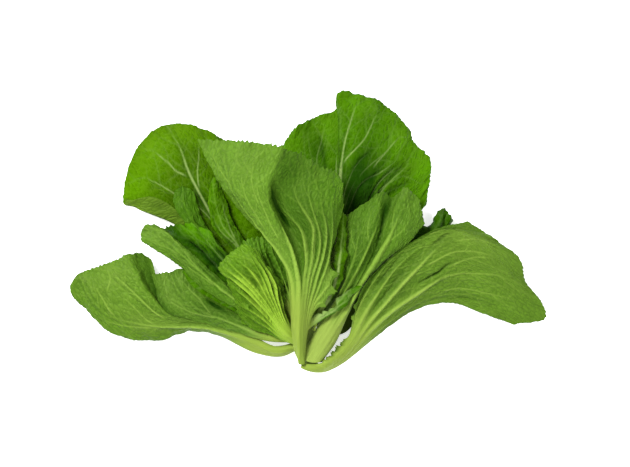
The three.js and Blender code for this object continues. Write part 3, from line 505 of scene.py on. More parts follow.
LEAVES["right_leaf"] = dict(
    side=BACK_UP, step=0.93, stalk=6, blade=0.45, flute=1.8, frill=0.5, teeth=0.9, wrinkles=0.8, pucker=0.7,
    folds=(0.45, 0.8), tint=(1.1, 1.02, 1.02),
    ribs=[
        ([(0, 0.9), (0.4, 1.1), (0.55, 1), (0.7, 0.8)], 0.5, 0.6),
        ([(0, 2), (0.3, 2), (0.45, 1.95), (0.55, 1.8), (0.65, 1.5)], 0.8, 0.65),
        ([(0, 3.3), (0.4, 3.3), (0.51, 3.1), (0.6, 2.7), (0.66, 2.3), (0.74, 1.8)], 1, 0.95),
        ([(0, 4.3), (0.4, 4.4), (0.5, 4.5), (0.57, 4.3), (0.62, 4.05), (0.72, 3.9)], 1.2, 0.85),
        ([(0, 5.2), (0.5, 5.3), (0.8, 5.2)], 0.4, 0.5),
    ],
    gaps=[0.3, 0.7, 0.9, 0.5, 0.2, 0.1],
    veins=[
        ([(0.6, 3), (0.66, 2.95), (0.7, 2.75), (0.8, 2.6), (0.9, 2.6)], 0.55),
        ([(0.66, 3.6), (0.72, 3.3), (0.8, 2.9), (0.88, 2.7)], 0.45),
        ([(0.6, 4.2), (0.75, 4), (0.82, 3.8), (0.92, 3.7)], 0.5),
        ([(0.6, 5), (0.75, 4.9), (0.9, 4.7)], 0.35),
        ([(0.75, 1.9), (0.85, 1.7), (0.95, 1.6)], 0.35),
        ([(0.72, 0.9), (0.85, 0.7), (0.96, 0.4)], 0.3),
    ],
    creases=[
        ([(0.49, 4), (0.55, 3.85), (0.62, 3.7), (0.66, 3.45), (0.73, 3.2)], 3, 1.3),
        ([(0.62, 2.2), (0.7, 1.7), (0.76, 1.35), (0.84, 1.1)], 2.4, 1.7),
        ([(0.62, 5.9), (0.72, 5.5), (0.8, 5.4)], 1, 1.4),
        ([(0.36, 1.5), (0.5, 1.5), (0.62, 1.2)], 1.4, 1.6),
        ([(0.3, 2.7), (0.45, 2.65), (0.58, 2.3)], 1.4, 1.5),
        ([(0.3, 0.5), (0.5, 0.5)], 1, 1.6),
    ],
    # Painted shade: the dark spot at share 0.165 darkens the frills of its left margin, which lie in shade.
    patches=[
        (0.7, 0.2, 0.22, 0.6, -0.5), (0.85, 2.5, 0.2, 1.6, 0.1), (0.5, 0.5, 0.2, 0.8, -0.2),
        (0.35, 5, 0.2, 1.5, 0.15), (0.165, 0, 0.08, 0.6, -1.1), (0.82, 1.4, 0.1, 0.7, 0.2),
    ],
    fringe=dict(
        left=[
            (0.098, 3.2, 2.4), (0.117, 4.6, 1.6), (0.128, 3.4, 1.6), (0.15, 4.8, 2.8), (0.167, 3.8, 1.6),
            (0.182, 5.4, 3), (0.206, 4.4, 2.2), (0.224, 3.4, 3), (0.33, 3.5, 2.5), (0.38, 3, 3),
        ],
    ),
    lines=[
        [(-5.7, -133.8, 21), (-2.8, -133.7, 22), (4, -134.5, 22), (12, -133.5, 20.5), (20, -129.8, 18.5),
         (36.8, -112.6, 17.5), (44.5, -93, 21), (54, -57.5, 26), (92, -19, 29), (127, 1, 27), (159, 9, 18)],
        [(-5.7, -133.9, 21.3), (-2.8, -134.2, 22.5), (4, -135.1, 23), (12, -134.2, 21.5), (20, -131.8, 20),
         (38.4, -114, 18.5), (53, -71, 24), (80, -33, 29), (117, -7, 31), (146, 1, 28), (190, -11, 15)],
        [(-5.8, -134, 21.3), (-2.8, -134.7, 22.5), (4, -135.8, 23), (12, -135.2, 21.5), (20, -133.3, 19),
         (40, -114, 18), (61, -76, 24), (92, -37, 28), (132, -14, 31), (166, -13, 27), (211, -29, 12)],
        [(-5.8, -134.1, 21.3), (-2.8, -135.3, 22.3), (4, -136.6, 22.5), (12, -136.4, 20.5),
         (20, -134.7, 17), (40, -118, 16), (65, -83, 21), (100, -47, 26), (140, -27, 29), (179, -30, 24),
         (217, -51, 9)],
        [(-5.9, -134.2, 21), (-2.8, -135.8, 21.5), (4, -137.4, 21.3), (12, -137.5, 19), (20, -136, 15),
         (39, -121.5, 13), (67, -90, 17), (104, -59, 21), (144, -43, 23), (184, -48, 17), (232, -70, 4)],
        [(-5.9, -134.3, 20.5), (-2.8, -136.3, 20.5), (4, -138.2, 19.8), (12, -138.7, 16.5),
         (20, -137.2, 12), (38, -126, 10), (68, -99, 12), (104, -72, 14), (144, -59, 15), (186, -68, 10),
         (237, -87, 1)],
        [(-5.9, -134.4, 20), (-2.8, -136.8, 19.5), (4, -138.9, 18), (12, -139.7, 13), (21, -138.3, 9),
         (37, -130, 6), (67, -107, 7), (102, -82, 8), (142, -72, 8), (172, -82, 5), (206, -94, 1)],
    ],
)
LEAVES["small_front_leaf"] = dict(
    side=BACK_UP, step=0.75, stalk=4, blade=0.4, flute=3.2, teeth=1.1, folds=(0.75, 1), reach=(0.14, 0.95),
    tint=(1.2, 1.2, 0.68), stalk_tint=(1.25, 1.35, 1),
    ribs=[
        ([(0, 0.8), (0.5, 0.9), (0.75, 0.9), (0.95, 0.8)], 0.5, 0.7),
        ([(0, 1.4), (0.5, 1.5), (0.8, 1.3), (0.97, 1.2)], 0.7, 0.8),
        ([(0, 1.9), (0.5, 2.1), (0.7, 2), (0.95, 1.9)], 0.9, 0.9),
        ([(0, 2.5), (0.5, 2.7), (0.7, 2.65), (0.97, 2.75)], 1.2, 1.1),
        ([(0, 3), (0.5, 3.2), (0.7, 3.1), (0.97, 3.2)], 1.3, 1.1),
        ([(0, 3.5), (0.5, 3.7), (0.7, 3.6), (0.85, 3.6), (0.97, 3.7)], 1.1, 0.95),
        ([(0, 4), (0.5, 4.3), (0.65, 4.5), (0.8, 4.4), (0.9, 4.2)], 1.3, 1),
        ([(0, 4.6), (0.5, 4.9), (0.65, 5.1), (0.82, 5)], 1, 0.9),
        ([(0, 5.2), (0.5, 5.6), (0.66, 5.8), (0.8, 5.6), (0.92, 5.2)], 1.1, 0.95),
        ([(0, 5.8), (0.5, 6.2), (0.68, 6.5), (0.85, 6.3), (0.95, 5.9)], 1.3, 1.1),
        ([(0, 6.5), (0.5, 7), (0.9, 7.2)], 0.8, 0.8),
    ],
    gaps=[0.3, 0.5, 0.8, 1.4, 0.8, 0.8, 1.3, 1.2, 0.9, 1, 1, 0.6],
    creases=[
        ([(0.55, 4), (0.65, 4.05), (0.77, 3.95)], 2.2, 1.3),
        ([(0.5, 2.35), (0.65, 2.35), (0.8, 2.3), (0.97, 2.3)], 2.5, 2.2),
        ([(0.55, 4.7), (0.7, 4.8), (0.8, 4.8)], 1.5, 1.6),
        ([(0.6, 1.55), (0.7, 1.5), (0.82, 1.5)], 1.6, 1.3),
        ([(0.5, 5.4), (0.6, 5.5), (0.7, 5.5)], 1.2, 1.2),
    ],
    patches=[(0.5, 3.2, 0.2, 1.6, 0.4), (0.8, 0.4, 0.3, 0.8, -0.3), (0.85, 4.9, 0.08, 0.6, 0.1)],
    lines=[
        [(-8, -114, 15), (-25, -110, 19), (-41, -103, 21), (-55, -98, 21), (-66, -93, 18)],
        [(-8, -113, 17), (-26, -106, 22), (-42, -96, 25), (-58, -85, 25), (-72, -74, 22)],
        [(-8, -112.5, 17), (-26, -102, 24), (-42, -86, 29), (-62, -66, 31), (-81, -50, 27)],
        [(-8, -112, 18), (-25, -99, 26), (-41, -78, 33), (-63, -54, 36), (-88, -37, 30)],
        [(-8, -111.5, 18), (-24, -97, 26), (-38, -74, 34), (-56, -48, 38), (-79, -25, 32)],
        [(-8, -111, 18), (-23, -95, 26), (-34, -72, 34), (-46, -46, 38), (-63, -15, 33)],
        [(-8, -110.5, 17), (-21, -94, 25), (-30, -72, 32), (-38, -50, 35), (-52, -19, 32)],
        [(-8, -110, 16), (-19, -93, 22), (-25, -74, 27), (-28, -58, 29), (-35, -42, 27)],
        [(-8, -109, 14), (-18, -94, 18), (-21.5, -80, 21), (-22.5, -66, 22), (-24, -50, 20)],
    ],
)
LEAVES["centre_leaf"] = dict(
    side=BACK_UP, step=0.85, stalk=6, blade=0.5, flute=2.6, frill=0.8, teeth=1.7, folds=(0.6, 0.9),
    folds_from=(0.34, 0.6), tint=(1.05, 1.04, 0.95),
    ribs=[
        ([(0, 1.3), (0.4, 1), (0.5, 0.75), (0.6, 0.55), (0.72, 0.7), (0.85, 0.95), (0.95, 0.9)], 1.3, 0.75),
        ([(0, 2.7), (0.4, 2.8), (0.5, 3.1), (0.6, 3.25), (0.7, 3.3), (0.76, 3.3)], 1.3, 0.8),
        ([(0, 4.2), (0.3, 4.5), (0.5, 4.9), (0.6, 5), (0.66, 4.95), (0.69, 4.7), (0.72, 4.4),
          (0.76, 4.1)], 1.2, 0.95),
        ([(0, 5.1), (0.45, 5.4), (0.6, 5.5), (0.65, 5.65), (0.7, 5.7), (0.75, 5.6), (0.79, 5.4), (0.86, 5),
          (0.92, 4.8)], 1.2, 0.95),
        ([(0, 5.8), (0.45, 5.9), (0.6, 6.05), (0.7, 6), (0.8, 6), (0.88, 5.8), (0.96, 5.6)], 0.9, 0.9),
        ([(0, 6.4), (0.5, 6.5), (0.6, 6.55), (0.72, 6.5), (0.84, 6.4), (0.92, 6.3)], 1, 0.85),
        ([(0, 7), (0.5, 7.1), (0.65, 7.05), (0.8, 6.9), (0.92, 6.85)], 0.7, 0.8),
        ([(0.05, 7), (0.3, 7.3), (0.45, 7.6), (0.6, 7.95)], 0.9, 0.8),
        ([(0.05, 7.4), (0.25, 7.6), (0.4, 7.8), (0.5, 7.98)], 0.8, 0.7),
    ],
    gaps=[0.1, 0.12, 0.45, 0.75, 0.7, 0.7, 0.6, 0.5, 0.6, 0.4],
    veins=[
        ([(0.6, 1.3), (0.75, 1.5), (0.9, 1.7)], 0.35),
        ([(0.55, 2), (0.7, 2.3), (0.9, 2.4)], 0.4),
        ([(0.72, 2), (0.85, 2.1), (0.96, 2.2)], 0.3),
        ([(0.8, 1), (0.9, 0.5), (0.97, 0.3)], 0.25),
    ],
    creases=[
        ([(0.58, 4.1), (0.68, 4.1), (0.74, 3.85), (0.79, 3.72)], 2.6, 1.2),
        ([(0.52, 2.7), (0.66, 3)], 1, 1.3),
    ],
    # Painted shade: the part right of the pleat is darkened where the crest shades it.
    tone=[(0, 0.05), (3, 0.08), (3.5, -0.16), (4.4, -0.38), (5.2, -0.36), (6.2, -0.25), (8, -0.14)],
    # The first four patches paint the shadow along the pleat's crease; the others are painted light and
    # shade.
    patches=[
        (0.785, 3.72, 0.025, 0.16, -1.2), (0.745, 3.88, 0.03, 0.13, -1.2), (0.705, 4.02, 0.03, 0.12, -1.1),
        (0.665, 4.12, 0.03, 0.12, -0.9), (0.45, 0.8, 0.15, 1.2, 0.25), (0.5, 5.5, 0.15, 2, 0.15),
        (0.72, 4, 0.09, 0.5, -0.2), (0.68, 4.55, 0.06, 0.35, 0.2), (0.82, 6.1, 0.04, 0.25, 0.12),
        (0.5, 7.6, 0.16, 0.5, 0.5), (0.93, 4.4, 0.06, 0.9, -0.15),
    ],
    fresh=[(0.9, 7.2, 0.1, 0.9, 0.5), (0.72, 3.2, 0.1, 0.3, 0.3)],
    fringe=dict(right=[(0.39, 4, 2.4), (0.485, 6.5, 3.4), (0.58, 7.5, 3.8)]),
    lines=[
        [(-7.3, -130.7, 20), (-13, -119, 24), (-15, -104, 28), (-17, -71, 33), (-22, -41, 36),
         (-35, -17, 38), (-62, 13, 38), (-90, 50, 37), (-109, 88, 33)],
        [(-7, -131.3, 21.5), (-12, -104, 31), (-13.5, -74, 37), (-17, -44, 41), (-29, -21, 45),
         (-51, 9, 48), (-76, 46, 49), (-83, 88, 43)],
        [(-6.7, -131.7, 22.5), (-10.5, -104, 33), (-11, -74, 39), (-12, -47, 43), (-21, -22, 48),
         (-40, 9, 53), (-56, 46, 57), (-54, 86, 50)],
        [(-6.4, -132, 23), (-9, -104, 34), (-8.5, -74, 40), (-9, -49, 44), (-15, -24, 48), (-32, 11, 54),
         (-40, 39, 58), (-27, 81, 54)],
        [(-6.1, -132.1, 23.5), (-8, -104, 34), (-6.5, -74, 40), (-6, -50, 43), (-8, -27, 42), (-18, -1, 41),
         (-33, 33, 42), (-31, 53, 53), (-21, 78, 52.5)],
        [(-5.8, -132.1, 23.5), (-6.5, -104, 34), (-4, -74, 40), (-2, -51, 44), (0, -27, 46), (-4, -5, 46),
         (-18, 26, 46), (-7, 74, 47)],
        [(-5.5, -131.9, 23), (-5, -104, 33), (-1, -74, 39), (4, -51, 43), (11, -27, 47), (12, -4, 49),
         (4, 31, 50), (12, 62, 45)],
        [(-5.2, -131.5, 22.5), (-3.5, -104, 31), (3, -77, 37), (11, -53, 40), (20, -27, 43), (24, -4, 45),
         (25, 31, 45), (31, 54, 40)],
        [(-5, -130.9, 21.5), (-4.3, -115, 26), (-2.7, -104, 29), (6, -81, 35), (18, -69, 38), (24, -50, 38),
         (23, -31, 38), (28, -5, 38), (36, 25, 37)],
    ],
    lobe=dict(
        stalk=2.2, blade=0.4,
        ribs=[(0.5, 0.5), (1, 0.8), (1.5, 0.5)],
        lines=[
            [(-6, -107.5, 30), (1, -98, 29), (12, -90, 29.5), (26, -81, 31), (38, -74, 31.5),
             (46, -63, 29)],
            [(-6, -103.5, 30.5), (1, -93, 30), (12, -84, 31), (25, -75, 32.5), (38, -66, 33),
             (51, -57, 30)],
            [(-6, -99.5, 30), (2, -88, 29), (13, -79, 30), (28, -70, 31.5), (38, -61, 32), (47, -55, 29.5)],
        ],
    ),
)


def smoothstep(x, low, high):
    t = np.clip((x - low) / (high - low), 0.0, 1.0)
    return t * t * (3.0 - 2.0 * t)


def noise(x, y, size, seed):
    """Smooth unevenness from -1 to 1, with features of that size."""
    lattice = np.random.RandomState(seed).uniform(-1.0, 1.0, (LATTICE, LATTICE))
    gx, gy = x / size + 7.3, y / size + 3.1
    ix, iy = np.floor(gx).astype(int), np.floor(gy).astype(int)
    fx, fy = smoothstep(gx - ix, 0, 1), smoothstep(gy - iy, 0, 1)

    def at(a, b):
        return lattice[b % LATTICE, a % LATTICE]

    low = at(ix, iy) * (1 - fx) + at(ix + 1, iy) * fx
    high = at(ix, iy + 1) * (1 - fx) + at(ix + 1, iy + 1) * fx
    return low * (1 - fy) + high * fy


def curve_through(knots, at):
    """Points on the smooth curve through knots (along the first axis), at fractional knot numbers."""
    before = 2 * knots[:1] - knots[1:2]
    after = 2 * knots[-1:] - knots[-2:-1]
    knots = np.concatenate([before, knots, after])
    first = np.clip(np.floor(at).astype(int), 0, len(knots) - 4)
    t = (at - first).reshape((-1,) + (1,) * (knots.ndim - 1))
    p = [knots[first + i] for i in range(4)]
    gap = [
        np.maximum(np.linalg.norm(p[i + 1] - p[i], axis=-1, keepdims=True), 1e-6) ** 0.5
        for i in range(3)
    ]
    leave = (p[1] - p[0]) / gap[0] - (p[2] - p[0]) / (gap[0] + gap[1]) + (p[2] - p[1]) / gap[1]
    arrive = (p[2] - p[1]) / gap[1] - (p[3] - p[1]) / (gap[1] + gap[2]) + (p[3] - p[2]) / gap[2]
    leave, arrive = leave * gap[1], arrive * gap[1]
    return (
        p[1]
        + leave * t
        + (3 * (p[2] - p[1]) - 2 * leave - arrive) * t**2
        + (2 * (p[1] - p[2]) + leave + arrive) * t**3
    )


def travelled(points, axis=0):
    """How far along an axis each point is."""
    steps = np.linalg.norm(np.diff(points, axis=axis), axis=-1)
    start = np.zeros_like(np.take(steps, [0], axis=axis))
    return np.concatenate([start, np.cumsum(steps, axis=axis)], axis=axis)


def even(count):
    """The nearest even whole number, and 4 at least."""
    return 2 * max(2, round(count / 2))


def smoothed(values, passes):
    for _ in range(passes):
        for axis in (0, 1):
            pad = [(1, 1) if a == axis else (0, 0) for a in range(values.ndim)]
            wide = np.pad(values, pad, mode="edge")
            n = values.shape[axis]
            parts = [np.take(wide, range(k, k + n), axis=axis) for k in range(3)]
            values = (parts[0] + 2 * parts[1] + parts[2]) / 4
    return values


class Sheet:
    """A leaf's middle surface: rows of points from the stem to the outer margin, columns left to right."""

    def __init__(self, lines, step):
        lines = [np.array(line, float) + SHIFT for line in lines]
        fine = [curve_through(line, np.linspace(0, len(line) - 1, FINELY * len(line))) for line in lines]
        rows = even(max(travelled(line)[-1] for line in fine) / step)
        along = np.stack([self.evenly(line, rows) for line in fine])
        self.numbers = self.even_numbers(along, step)
        self.points = curve_through(along, self.numbers).transpose(1, 0, 2)
        self.share = np.linspace(0, 1, rows + 1)[:, None] * np.ones(len(self.numbers))
        self.measure()
        self.survey()

    @staticmethod
    def evenly(line, rows):
        far = travelled(line)
        wanted = np.linspace(0, far[-1], rows + 1)
        return np.stack([np.interp(wanted, far, line[:, axis]) for axis in range(3)], axis=1)

    @staticmethod
    def even_numbers(along, step):
        """The line numbers of columns that are evenly spaced over the blade."""
        fine = np.linspace(0, len(along) - 1, FINELY * len(along))
        across = curve_through(along[:, along.shape[1] // 3 :], fine)
        steps = np.linalg.norm(np.diff(across, axis=0), axis=-1)
        widths = steps.sum(0)
        share = (steps / widths).mean(1)
        columns = even(widths.max() / step)
        far = np.concatenate([[0.0], np.cumsum(share)])
        return np.interp(np.linspace(0, far[-1], columns + 1), far, fine)

    def measure(self):
        """Works out directions and cell sizes over the sheet as it now is."""
        outwards = np.gradient(self.points, axis=0)
        across = np.gradient(self.points, axis=1)
        self.row_mm = np.linalg.norm(outwards, axis=-1)
        self.column_mm = np.maximum(np.linalg.norm(across, axis=-1), 1e-4)
        self.outwards = outwards / self.row_mm[..., None]
        self.across = across / self.column_mm[..., None]

    def survey(self):
        """Works out the normal and the distances along, across and to the margins, before any teeth."""
        normal = np.cross(self.across, self.outwards)
        normal /= np.maximum(np.linalg.norm(normal, axis=-1, keepdims=True), 1e-6)
        normal = smoothed(normal, 2)
        self.normal = normal / np.linalg.norm(normal, axis=-1, keepdims=True)
        self.r = travelled(self.points, 0)
        self.s = travelled(self.points, 1)
        self.left = self.s.copy()
        self.right = self.s[:, -1:] - self.s
        self.s = self.s - self.s[:, [self.s.shape[1] // 2]]
        self.out = self.r[-1:] - self.r

    def columns_at(self, numbers):
        return np.interp(numbers, self.numbers, np.arange(len(self.numbers)))

    def follow(self, path, spacing):
        """The shares, rows and columns of points along a path, about so many rows apart."""
        shares, numbers = path
        rows = self.share.shape[0] - 1
        count = max(8, int(rows * (shares[-1] - shares[0]) / spacing))
        share = np.linspace(shares[0], shares[-1], count)
        return share, share * rows, self.columns_at(np.interp(share, shares, numbers))

    def at(self, rows, columns):
        """Points at fractional rows and columns."""
        i = np.clip(np.floor(rows).astype(int), 0, self.points.shape[0] - 2)
        j = np.clip(np.floor(columns).astype(int), 0, self.points.shape[1] - 2)
        fi, fj = (rows - i)[:, None], (columns - j)[:, None]
        p = self.points
        low = p[i, j] * (1 - fj) + p[i, j + 1] * fj
        high = p[i + 1, j] * (1 - fj) + p[i + 1, j + 1] * fj
        return low * (1 - fi) + high * fi


class Veins:
    """What the veins of one sheet do to it: ridges, pale colour, and the room left between them."""

    def __init__(self, sheet):
        self.sheet = sheet
        shape = sheet.share.shape
        self.ridge = np.zeros(shape)
        self.pale = np.zeros(shape)
        self.room = np.full(shape, VEIN_REACH)

    def draw(self, rows, columns, height, width, pale, pale_width):
        """Draws one vein along fractional rows and columns. The rest are numbers for each of its points."""
        sheet = self.sheet
        points = sheet.at(rows, columns)
        last_row, last_column = (n - 1 for n in sheet.share.shape)
        for k in range(len(rows) - 1):
            i, j = int(round(rows[k])), int(round(columns[k]))
            reach = max(VEIN_REACH, 2.4 * pale_width[k]) + 2.0
            di = int(reach / sheet.row_mm[i, j]) + 1
            dj = int(reach / sheet.column_mm[i, j]) + 1
            window = (
                slice(max(i - di, 0), min(i + di, last_row) + 1),
                slice(max(j - dj, 0), min(j + dj, last_column) + 1),
            )
            a, ab = points[k], points[k + 1] - points[k]
            length2 = ab @ ab
            if length2 < 1e-9:
                continue
            offset = sheet.points[window] - a
            t = np.clip(offset @ ab / length2, 0, 1)
            d = np.linalg.norm(offset - t[..., None] * ab, axis=-1)

            def between(values):
                return values[k] + (values[k + 1] - values[k]) * t

            ridge = between(height) * np.exp(-((d / between(width)) ** 2))
            paleness = between(pale) * np.exp(-((d / between(pale_width)) ** 3))
            self.ridge[window] = np.maximum(self.ridge[window], ridge)
            self.pale[window] = np.maximum(self.pale[window], paleness)
            self.room[window] = np.minimum(self.room[window], d)

    def path_from(self, i, j, heading, bend, steps, rng):
        """The (row, column) pairs of a vein that grows until it leaves the sheet or meets another one."""
        sheet = self.sheet
        last_row, last_column = (n - 1 for n in sheet.share.shape)
        path = [(i, j)]
        for count in range(steps):
            a, b = int(round(i)), int(round(j))
            i += VEIN_STEP * math.cos(heading) / sheet.row_mm[a, b]
            j += VEIN_STEP * math.sin(heading) / sheet.column_mm[a, b]
            if not (0 <= i <= last_row and 0 <= j <= last_column):
                break
            path.append((i, j))
            heading += bend + rng.uniform(-0.13, 0.13)
            if count > 2 and self.room[int(round(i)), int(round(j))] < 1.0:
                break
        return path

    def grow(self, parents, rng, first_share, faint, spacing, turn, length, height, width, pale):
        """Side veins that leave their parents on alternate sides. Returns their own paths."""
        sheet = self.sheet
        last_row = sheet.share.shape[0] - 1
        grown = []
        for rows, columns in parents:
            far = travelled(sheet.at(rows, columns))
            start = spacing * rng.uniform(0.3, 1.0)
            side = rng.choice([-1.0, 1.0])
            while start < far[-1] - 2.0:
                i, j = np.interp(start, far, rows), np.interp(start, far, columns)
                ahead = min(start + 2.0, far[-1])
                di = (np.interp(ahead, far, rows) - i) * sheet.row_mm[int(i), int(j)]
                dj = (np.interp(ahead, far, columns) - j) * sheet.column_mm[int(i), int(j)]
                start += spacing * rng.uniform(0.6, 1.3)
                side = -side
                heading = math.atan2(dj, di) + side * turn * rng.uniform(0.8, 1.2)
                if i / last_row < first_share:
                    continue
                steps = int(length * rng.uniform(0.6, 1.1) / VEIN_STEP)
                path = self.path_from(i, j, heading, -VEIN_BEND * side, steps, rng)
                if len(path) > 2:
                    grown.append(np.array(path).T)
        for rows, columns in grown:
            fade = 1 - 0.6 * np.linspace(0, 1, len(rows))
            one = np.ones(len(rows))
            self.draw(rows, columns, height * fade, width * one, pale * faint * fade, 1.2 * width * one)
        return grown


class Pile:
    """The height of everything laid down so far, on a square grid of one millimetre over the table."""

    LOW = np.array([-270, -180])
    SIZE = (360, 540)

    def __init__(self):
        self.top = np.zeros(self.SIZE)
        self.reached = self.top

    def cells(self, points):
        where = np.rint(points[..., :2]).astype(int) - self.LOW
        return where[..., 1], where[..., 0]

    def lay(self, points):
        np.maximum.at(self.top, self.cells(points), points[..., 2])
        wide = np.pad(self.top, 1, mode="edge")
        rows, columns = self.SIZE
        self.reached = np.max(
            [wide[a : a + rows, b : b + columns] for a in range(3) for b in range(3)], axis=0
        )

    def shortfall(self, points):
        """How far each point has to rise to clear the pile."""
        return self.reached[self.cells(points)] + LAYER_GAP - points[..., 2]


PILE = Pile()


def spread_lift(lift, sheet):
    """Lets the lift fall away no faster than STEEPEST_LIFT along and across the sheet."""
    slopes = [(axis, STEEPEST_LIFT * far) for axis, far in ((0, sheet.r), (1, sheet.left))]
    for _ in range(2):
        for axis, slope in slopes:
            lift = np.maximum.accumulate(lift + slope, axis) - slope
            back = np.flip(np.maximum.accumulate(np.flip(lift - slope, axis), axis), axis)
            lift = back + slope
    return lift


def settle(sheet, low):
    """How far to lift each point of a sheet, whose lowest points are low, so that it lies on the pile."""
    needed = np.maximum(PILE.shortfall(low), 0)
    lift = spread_lift(needed, sheet)
    for _ in range(4):
        lift = np.maximum(smoothed(lift, 3), needed)
    return np.maximum(smoothed(lift, 2), needed)


def between_ribs(sheet, ribs, depth):
    """How far the blade arches between its nearest ribs, with one depth for each gap, and the gap's width."""
    arch = np.zeros(sheet.share.shape)
    gap = np.ones(sheet.share.shape)
    for i in range(sheet.share.shape[0]):
        across = sheet.left[i]
        numbers = np.sort([np.interp(sheet.share[i, 0], *path) for path in ribs])
        lines = np.concatenate([[across[0]], np.interp(numbers, sheet.numbers, across), [across[-1]]])
        k = np.clip(np.searchsorted(lines, across) - 1, 0, len(lines) - 2)
        width = np.maximum(lines[k + 1] - lines[k], 1e-6)
        x = (across - lines[k]) / width
        arch[i] = depth[k] * 4 * x * (1 - x)
        gap[i] = width
    return arch, gap


def valley(sheet, path, reach, ends=0.12):
    """How close each point is to a crease along path: 1 in it, falling to 0 about reach away."""
    shares, numbers = rib_path(path)
    share = sheet.share[:, 0]
    columns = sheet.columns_at(np.interp(share, shares, numbers))
    index = np.arange(sheet.share.shape[1])
    at = np.array([np.interp(c, index, row) for c, row in zip(columns, sheet.left)])
    slope = np.gradient(at) / sheet.row_mm.mean(axis=1)
    distance = np.abs(sheet.left - at[:, None]) / np.sqrt(1 + slope**2)[:, None]
    begun = smoothstep(share, shares[0], shares[0] + ends)
    along = begun * (1 - smoothstep(share, shares[-1] - ends, shares[-1]))
    return np.exp(-((distance / reach) ** 2)) * along[:, None]


def teeth(along, margin, seed):
    """How far the small uneven teeth and the broader lobes of a margin reach out, about 1 at most."""
    where = along / TOOTH_SPACING + 1.1 * noise(along, 0 * along, 17.0, seed)
    saw = where - np.floor(where)
    saw = np.where(saw < 0.7, saw / 0.7, (1 - saw) / 0.3)
    size = 0.75 + 0.45 * noise(along, 0 * along, 9.0, seed + 1)
    where = along / LOBE_SPACING + 0.7 * noise(along, 0 * along, 30.0, seed + 2)
    lobe = where - np.floor(where)
    lobe = np.where(lobe < 0.8, lobe / 0.8, (1 - lobe) / 0.2)
    return saw * size * np.exp(-margin / 1.6) * 1.3 + 0.45 * (lobe - 0.4) * np.exp(-margin / 4.0)


def fringe(sheet, lobes, margin, seed):
    """How far small lobes reach out from a side margin. A lobe is (share of the length, reach, width)."""
    reach = np.zeros_like(sheet.share)
    for share, length, width in lobes:
        away = sheet.r - share * sheet.r[-1:]
        shape = np.exp(-((away / width) ** 2)) * (1 + 0.25 * np.sin(away * 2.1 + seed))
        reach = np.maximum(reach, length * shape)
    return reach * np.exp(-margin / 3.0)


def ruffle(along, margin, seed):
    """Waves along a margin that die away into the blade."""
    wave = np.sin(2 * math.pi * (along / LONG_WAVE + 0.5 * noise(along, margin, 24.0, seed)))
    small = np.sin(2 * math.pi * (along / SHORT_WAVE + 0.6 * noise(along, margin, 11.0, seed + 1)))
    return wave * np.exp(-((margin / 13.0) ** 2)) + 0.35 * small * np.exp(-((margin / 5.0) ** 2))


def rib_path(path):
    """A path's shares of the length and line numbers. A single number is one line all the way."""
    if isinstance(path, (int, float)):
        path = [(0.0, path), (1.0, path)]
    shares, numbers = zip(*path)
    return np.array(shares), np.array(numbers, float)


def smooth_steps(at, shares, numbers):
    """Like np.interp, but with the corners rounded off."""
    near = [np.interp(at + shift, shares, numbers) for shift in np.linspace(-0.03, 0.03, 7)]
    return np.mean(near, axis=0)


def wandering(path, rng):
    """The same path, drawn finely and with the slow wander of a real rib."""
    shares, numbers = rib_path(path)
    fine = np.linspace(shares[0], shares[-1], 40)
    wander = noise(fine * 100, np.zeros(40), 19.0, rng.randint(1 << 30)) * smoothstep(fine, 0.25, 0.6)
    return fine, smooth_steps(fine, shares, numbers) + 0.07 * wander


def spots(sheet, patches):
    """Soft spots on a sheet, each (share, line number, reach in share, reach in lines, strength), summed."""
    total = np.zeros_like(sheet.share)
    for share, number, long, wide, value in patches:
        offset = ((sheet.share - share) / long) ** 2 + ((sheet.numbers - number) / wide) ** 2
        total += value * np.exp(-offset)
    return total


def cut_margins(sheet, spec, sizes, seed):
    """Moves a sheet's margins out and in along their teeth and lobes. Side margins can have a fringe too."""
    blade = spec["blade"]
    tooth = sizes.tooth_length / MM * spec.get("teeth", 1.0)
    outer = SIDE_TEETH * smoothstep(sheet.share, 1.1 * blade, 1.1 * blade + 0.25)
    sideways = np.cross(sheet.outwards, sheet.normal)
    level = np.cross(sheet.outwards, (0, 0, 1))
    level /= np.linalg.norm(level, axis=-1, keepdims=True)
    for name, away, level_away, along, margin, weight in (
        ("tip", sheet.outwards, sheet.outwards, sheet.s, sheet.out, 1.0),
        ("left", -sideways, -level, sheet.r, sheet.left, outer),
        ("right", sideways, level, sheet.r, sheet.right, outer),
    ):
        reach = tooth * weight * teeth(along, margin, seed)
        sheet.points = sheet.points + away * reach[..., None]
        if name in spec.get("fringe", {}):
            reach = fringe(sheet, spec["fringe"][name], margin, seed)
            sheet.points += level_away * reach[..., None]
    sheet.measure()


def draw_rib(veins, path, strength, fade_at, rise, gap, sizes, fineness):
    """Draws a main rib, which rises from the stalk and sinks into the blade. Returns its rows and columns."""
    share, rows, columns = veins.sheet.follow(path, 3)
    first, last = share[0], share[-1]
    room = gap[rows.astype(int), columns.astype(int)]
    begun = smoothstep(share, first, first + rise)
    kept = 1 - smoothstep(share, fade_at - 0.4, fade_at + 0.1)
    kept = kept * (1 - smoothstep(share, last - 0.22, last))
    apart = smoothstep(share, *RIBS_PART)
    height = strength * sizes.rib_height / MM * begun * (0.15 + 0.85 * apart)
    height = np.minimum(height * (0.05 + 0.95 * kept), 0.5 * room)
    width = np.minimum(0.55 + 1.35 * kept * strength, 0.36 * room)
    ended = 1 - smoothstep(share, last - 0.1, last) * (last < 0.97)
    pale = np.clip(begun * ended * strength**0.5 * (0.15 + 0.85 * kept), 0, 1)
    pale_width = np.minimum(0.55 + 1.25 * kept * strength * fineness, 0.42 * room) + 3.0 * (1 - apart)
    veins.draw(rows, columns, height, width, pale, pale_width)
    return rows, columns


